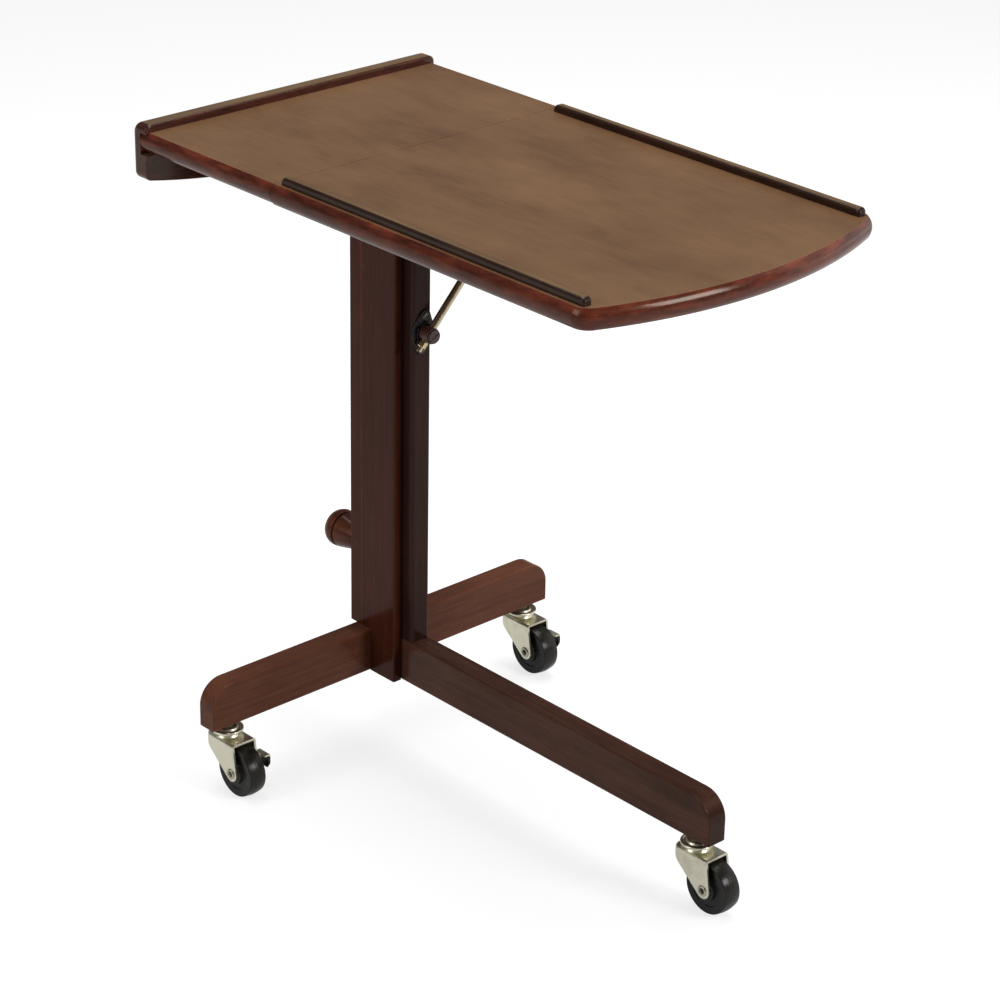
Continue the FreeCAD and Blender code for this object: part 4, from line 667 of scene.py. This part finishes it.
# Outline of the black filler in the curl, which is painted shade.
curl_shade_outline = softened([
    (24.0, 39.7, 0.3), (29.2, 39.7, 0.5), (31.0, 38.1, 1.0), (31.0, 30.0, 5.0), (26.6, 26.0, 1.2),
    (25.4, 27.7, 0.8), (27.0, 32.0, 3.5), (25.6, 35.9, 3.0), (24.0, 37.5, 0.6),
])
barrel_outline = softened([
    (0, -5, 0), (1.5, -5, 0.3), (1.5, -2.7, 0), (3, -2.7, 0.4),
    (3, 2.7, 0.4), (1.5, 2.7, 0), (1.5, 5, 0.3), (0, 5, 0),
], closed=False)
for end in ("near", "far"):
    node = f"brake_pedal_{end}"
    below = Vector((*middle_of(f"caster_race_{end}")[:2], 0))
    replace(f"pedal_tab_{end}", extruded(tab_outline, *TAB_ALONG), node, axis="X", at=below)
    for name, shape, finish, spot in (
        ("neck", extruded(neck_outline, *NECK_ALONG, ease=0), fork_plate, below),
        ("barrel", sweep(barrel_outline, closed=False), fork_plate, below + PEDAL_PIN),
        ("pad", extruded(curl_shade_outline, *CURL_SHADE_ALONG, ease=CURL_SHADE_EASE), curl_shade_black, below),
    ):
        place_piece(f"pedal_{name}_{end}", shape, finish, node, axis="X", at=spot)
    print(node, "rides on", body_of[node])

# %% [markdown]
# ## The clamp knob
# The knob was turned from one piece of the same wood: a grip that widens away from the post, a deep
# groove cut with a parting tool, and a cap that is rounded over. The shoulder beside the washer has a
# small bead.

# %% Knob
knob_outline = softened([
    (0, 0, 0), (12.2, 0, 0), (13.0, -1.0, 0.8), (13.2, -3.4, 1.4), (15.6, -9.0, 8), (20.9, -33.8, 1.0),
    (18.2, -34.0, 0.3), (18.2, -36.0, 0.3), (21.2, -36.3, 1.2), (21.6, -43.0, 6), (18.6, -51.2, 9),
    (9.0, -54.2, 12), (0, -54.2, 0),
], closed=False, steps=10)
knob_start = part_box("height_knob")[1][0] / MM
knob_height = middle_of("height_knob")[2]
knob = sweep(knob_outline, closed=False)
replace("clamp_knob", knob, "height_knob", axis="X", at=(knob_start, 0, knob_height))
print("knob", round(knob_height), "mm above the floor")

# %% [markdown]
# ## The tilt strut
# A lozenge-shaped plate is screwed to the post. On it turns a lacquered hub with a black collar, a
# slotted screw locks the hub, and a rod with a threaded end runs through it. The plate's rim is eased,
# the screw heads are domed, and their slots are cut with a boolean, as a saw would.


# %% Cutting slots
BLADE_LENGTH = 30


def with_slot(shape, width, depth, top, turn):
    """Cut a straight slot across the top of a head that was swept about Z."""
    solid = bpy.data.meshes.new("head")
    shape.to_mesh(solid)
    cutter = bmesh.new()
    bmesh.ops.create_cube(cutter, size=1)
    bmesh.ops.scale(cutter, vec=(BLADE_LENGTH, width, 2 * depth), verts=cutter.verts)
    bmesh.ops.rotate(cutter, cent=(0, 0, 0), matrix=Matrix.Rotation(turn, 3, "Z"), verts=cutter.verts)
    bmesh.ops.translate(cutter, vec=(0, 0, top), verts=cutter.verts)
    saw = bpy.data.meshes.new("saw")
    cutter.to_mesh(saw)
    cutter.free()
    head = bpy.data.objects.new("head", solid)
    blade = bpy.data.objects.new("blade", saw)
    for thing in (head, blade):
        bpy.context.scene.collection.objects.link(thing)
    step = head.modifiers.new("slot", "BOOLEAN")
    step.operation = "DIFFERENCE"
    step.object = blade
    done = head.evaluated_get(bpy.context.evaluated_depsgraph_get())
    shape.clear()
    shape.from_mesh(bpy.data.meshes.new_from_object(done))
    for thing in (head, blade):
        bpy.data.objects.remove(thing)
    return shape


# %% Plate
PLATE = {"round": 15.5, "ends": 7.5, "screws": 17.5, "lean": math.radians(9), "thick": 2.5, "hub": 501.5}
PLATE_RIM = ((0, 0), (0, 1.5), (0.35, 2.2), (1.1, PLATE["thick"]))
post_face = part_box("strut_plate")[0][0] / MM


def lozenge(grow=0.0, steps=14):
    """Outline round a middle circle and two smaller end circles, in the plate's own plane."""
    middle, end = PLATE["round"] + grow, PLATE["ends"] + grow
    flare = math.asin((middle - end) / PLATE["screws"])
    path = []
    for centre, radius, first, last in (
        (0, middle, -flare, flare),
        (PLATE["screws"], end, flare, math.pi - flare),
        (0, middle, math.pi - flare, math.pi + flare),
        (-PLATE["screws"], end, math.pi + flare, 2 * math.pi - flare),
    ):
        for step in range(steps + 1):
            angle = first + (last - first) * step / steps
            path.append(Vector((radius * math.cos(angle), centre + radius * math.sin(angle))))
    leaned = Matrix.Rotation(-PLATE["lean"], 2)
    return [leaned @ spot for spot in path]


plate_shape = bmesh.new()
rows = []
for inset, height in PLATE_RIM:
    rows.append([plate_shape.verts.new((spot.x, spot.y, height)) for spot in lozenge(-inset)])
for lower, upper in zip(rows, rows[1:]):
    for number in range(len(lower)):
        after = (number + 1) % len(lower)
        plate_shape.faces.new((lower[number], lower[after], upper[after], upper[number]))
plate_shape.faces.new(rows[-1])
plate_shape.faces.new(list(reversed(rows[0])))
bmesh.ops.remove_doubles(plate_shape, verts=plate_shape.verts, dist=0.001)
bmesh.ops.recalc_face_normals(plate_shape, faces=plate_shape.faces)
replace("strut_flange", plate_shape, "strut_plate", axis="X", at=(post_face, 0, PLATE["hub"]))
print("plate leans", round(math.degrees(PLATE["lean"])), "degrees on the post")

# %% Plate screws
DOME_HEIGHT = 1.8
dome = softened(
    [(0, 0, 0), (4.9, 0, 0.2), (4.9, 0.5, 0.3), (3.6, 1.5, 1.6), (0, DOME_HEIGHT, 0)], closed=False, steps=8,
)
lean = Vector((0, math.sin(PLATE["lean"]), math.cos(PLATE["lean"])))
plate_middle = Vector((post_face + PLATE["thick"], 0, PLATE["hub"]))
for number, (side, turn) in enumerate(((1, 25), (-1, 85)), start=1):
    head = with_slot(sweep(dome, closed=False), 0.9, 0.9, DOME_HEIGHT, math.radians(turn))
    spot = plate_middle + side * PLATE["screws"] * lean
    screw = place_piece(f"flange_screw_{number}", head, dark_steel, "strut_screws", axis="X", at=spot)
    if number == 1:
        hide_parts("strut_screws")
    print(screw.name, "at", [round(value, 1) for value in spot])

# %% Hub, collar and lock screw
hub_low, hub_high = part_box("strut_hub")
hub_length = (hub_high[0] - hub_low[0]) / MM
hub_at = (hub_low[0] / MM, 0, PLATE["hub"])
hub_outline = softened([
    (0, 0.3, 0), (9, 0.3, 0.2), (9, hub_length, 0.9),
    (4.2, hub_length, 0.3), (4.2, hub_length - 1, 0), (0, hub_length - 1, 0),
], closed=False)
replace("hub_barrel", sweep(hub_outline, closed=False), "strut_hub", axis="X", at=hub_at)
collar_outline = softened([
    (8.9, 0.05, 0.2), (11, 0.05, 0.3), (11, 1.9, 0.7), (9.6, 1.9, 0.3), (9.4, 1.5, 0.2), (8.9, 1.5, 0),
])
replace("hub_ring", sweep(collar_outline), "hub_collar", axis="X", at=hub_at)
LOCK_HEAD = 2.4
lock_outline = softened([
    (0, -5.5, 0), (4, -5.5, 0.3), (4, 0, 0.1), (7.4, 0, 0.4), (7.8, 0.5, 0.4),
    (7.8, LOCK_HEAD, 0.8), (0, LOCK_HEAD, 0),
], closed=False)
lock_at = (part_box("strut_lock_screw")[1][0] / MM - LOCK_HEAD, 0, PLATE["hub"])
lock = with_slot(sweep(lock_outline, closed=False), 1.3, 1.1, LOCK_HEAD, math.radians(28))
replace("lock_screw", lock, "strut_lock_screw", finish=hub_lacquer, axis="X", at=lock_at)
print("hub", round(hub_length, 1), "mm long")

# %% [markdown]
# The rod leans across the table, so its nut is made upright about Z and then leaned with it. A nut is
# a turned piece whose radius is capped by its six flats: sweeping with that cap gives the curved lines
# where a real nut's chamfer meets its flats.

# %% Stop nut and threaded end
ROD_EYE = (153.174, 665)
FLATS = 9.0
NUT_FROM_HUB = 16.3
NUT_HEIGHT = 7
rod_lean = math.atan2(ROD_EYE[0], ROD_EYE[1] - PLATE["hub"])
rod_x = middle_of("rod_stop_nut")[0]


def six_flats(angle):
    """Distance from the axis to a hexagon at this angle."""
    return FLATS / 2 / math.cos((angle + math.pi / 6) % (math.pi / 3) - math.pi / 6)


def on_the_rod(shape, distance):
    """Move a shape made about Z down the leaning rod, by a distance from the hub's axis."""
    turn = Matrix.Rotation(-rod_lean, 4, "X")
    slide = Matrix.Translation((rod_x, 0, PLATE["hub"])) @ turn @ Matrix.Translation((0, 0, -distance))
    bmesh.ops.transform(shape, matrix=slide, verts=shape.verts)
    return shape


corner = FLATS / 2 / math.cos(math.pi / 6)
nut_outline = softened([
    (3.0, 0, 0.2), (4.4, 0, 0.1), (corner, 0.8, 0.2),
    (corner, NUT_HEIGHT - 0.8, 0.2), (4.4, NUT_HEIGHT, 0.1), (3.0, NUT_HEIGHT, 0.2),
], steps=3)
replace("stop_nut", on_the_rod(sweep(nut_outline, six_flats), NUT_FROM_HUB), "rod_stop_nut")
TURNS = 6
PITCH = 0.8
THREAD_END = 21.3
thread_outline = [(0, 0), (2.2, 0), (2.9, 0.5)]
for turn in range(TURNS):
    thread_outline += [(2.95, 0.5 + PITCH * turn), (2.5, 0.9 + PITCH * turn)]
thread_outline += [(2.95, 5.3), (0, 5.3)]
thread = on_the_rod(sweep(thread_outline, closed=False), THREAD_END)
place_piece("rod_thread", thread, brass, "rod_stop_nut")
print("strut leans", round(math.degrees(rod_lean), 1), "degrees")

# %% [markdown]
# ## Floor and light
# The table is shown as in a catalogue: on white, lit by big soft lamps. The floor's shader adds a
# plain glow that only the camera and mirror-like surfaces see, so the background is white without any
# more light on the wood, while the floor still takes the table's shadow.

# %% Floor
FLOOR_HALF = 15
FLOOR_GLOW = 0.72
FLOOR_SHEEN = 0.35
corners = [(x * FLOOR_HALF, y * FLOOR_HALF, 0) for x, y in ((-1, -1), (1, -1), (1, 1), (-1, 1))]
floor_mesh = bpy.data.meshes.new("floor")
floor_mesh.from_pydata(corners, [], [(0, 1, 2, 3)])
floor = bpy.data.objects.new("floor", floor_mesh)
bpy.context.scene.collection.objects.link(floor)
floor_paint, tree, shader = new_material("floor_paint")
shader.inputs["Base Color"].default_value = (0.42, 0.42, 0.42, 1)
shader.inputs["Roughness"].default_value = 0.9
shader.inputs["Emission Color"].default_value = (1, 1, 1, 1)
path = put(tree, "ShaderNodeLightPath")
sheen = maths(tree, "MULTIPLY", path.outputs["Is Glossy Ray"], FLOOR_SHEEN)
glow = maths(tree, "MULTIPLY_ADD", path.outputs["Is Camera Ray"], FLOOR_GLOW, sheen)
feed(tree, shader.inputs["Emission Strength"], glow)
floor_mesh.materials.append(floor_paint)
print("floor", 2 * FLOOR_HALF, "m wide")

# %% World
WORLD_FILL = 0.26
WORLD_IN_GLOSS = 0.14
world = bpy.data.worlds.new("studio")
bpy.context.scene.world = world
world.use_nodes = True
sky = world.node_tree
sky.nodes.clear()
path = put(sky, "ShaderNodeLightPath")
seen = maths(sky, "MAXIMUM", path.outputs["Is Camera Ray"], path.outputs["Is Transmission Ray"])
plain = spread(sky, path.outputs["Is Glossy Ray"], 0, 1, WORLD_FILL, WORLD_IN_GLOSS)
strength = maths(sky, "MAXIMUM", seen, plain)
air = put(sky, "ShaderNodeBackground", {"Color": (1, 1, 1, 1), "Strength": strength})
put(sky, "ShaderNodeOutputWorld", {"Surface": air.outputs[0]})
print("white world seen by the camera, dimmer in reflections")

# %% Lamps
LAMPS = {
    "overhead": {"place": (-0.3, 0.3, 3.0), "aim": (0, 0, 0.6), "side": 2.0, "watts": 63},
    "bow_side": {"place": (2.5, 0.9, 1.5), "aim": (0.2, 0, 0.6), "side": 0.9, "watts": 32},
    "far_side": {"place": (1.1, 2.8, 1.3), "aim": (0.1, 0, 0.6), "side": 2.6, "watts": 18},
    "near_fill": {"place": (-0.6, -3.0, 1.8), "aim": (0, 0, 0.4), "side": 1.6, "watts": 26},
}


def softbox(name, place, aim, side, watts):
    """A big square lamp that faces a point."""
    lamp = bpy.data.lights.new(name, "AREA")
    lamp.shape = "SQUARE"
    lamp.size = side
    lamp.energy = watts
    thing = bpy.data.objects.new(name, lamp)
    bpy.context.scene.collection.objects.link(thing)
    turned = (Vector(place) - Vector(aim)).to_track_quat("Z", "Y").to_matrix().to_4x4()
    thing.matrix_world = Matrix.Translation(place) @ turned


for name, setup in LAMPS.items():
    softbox(name, **setup)
bpy.context.scene.view_settings.view_transform = "Standard"
print("lamps:", ", ".join(LAMPS))
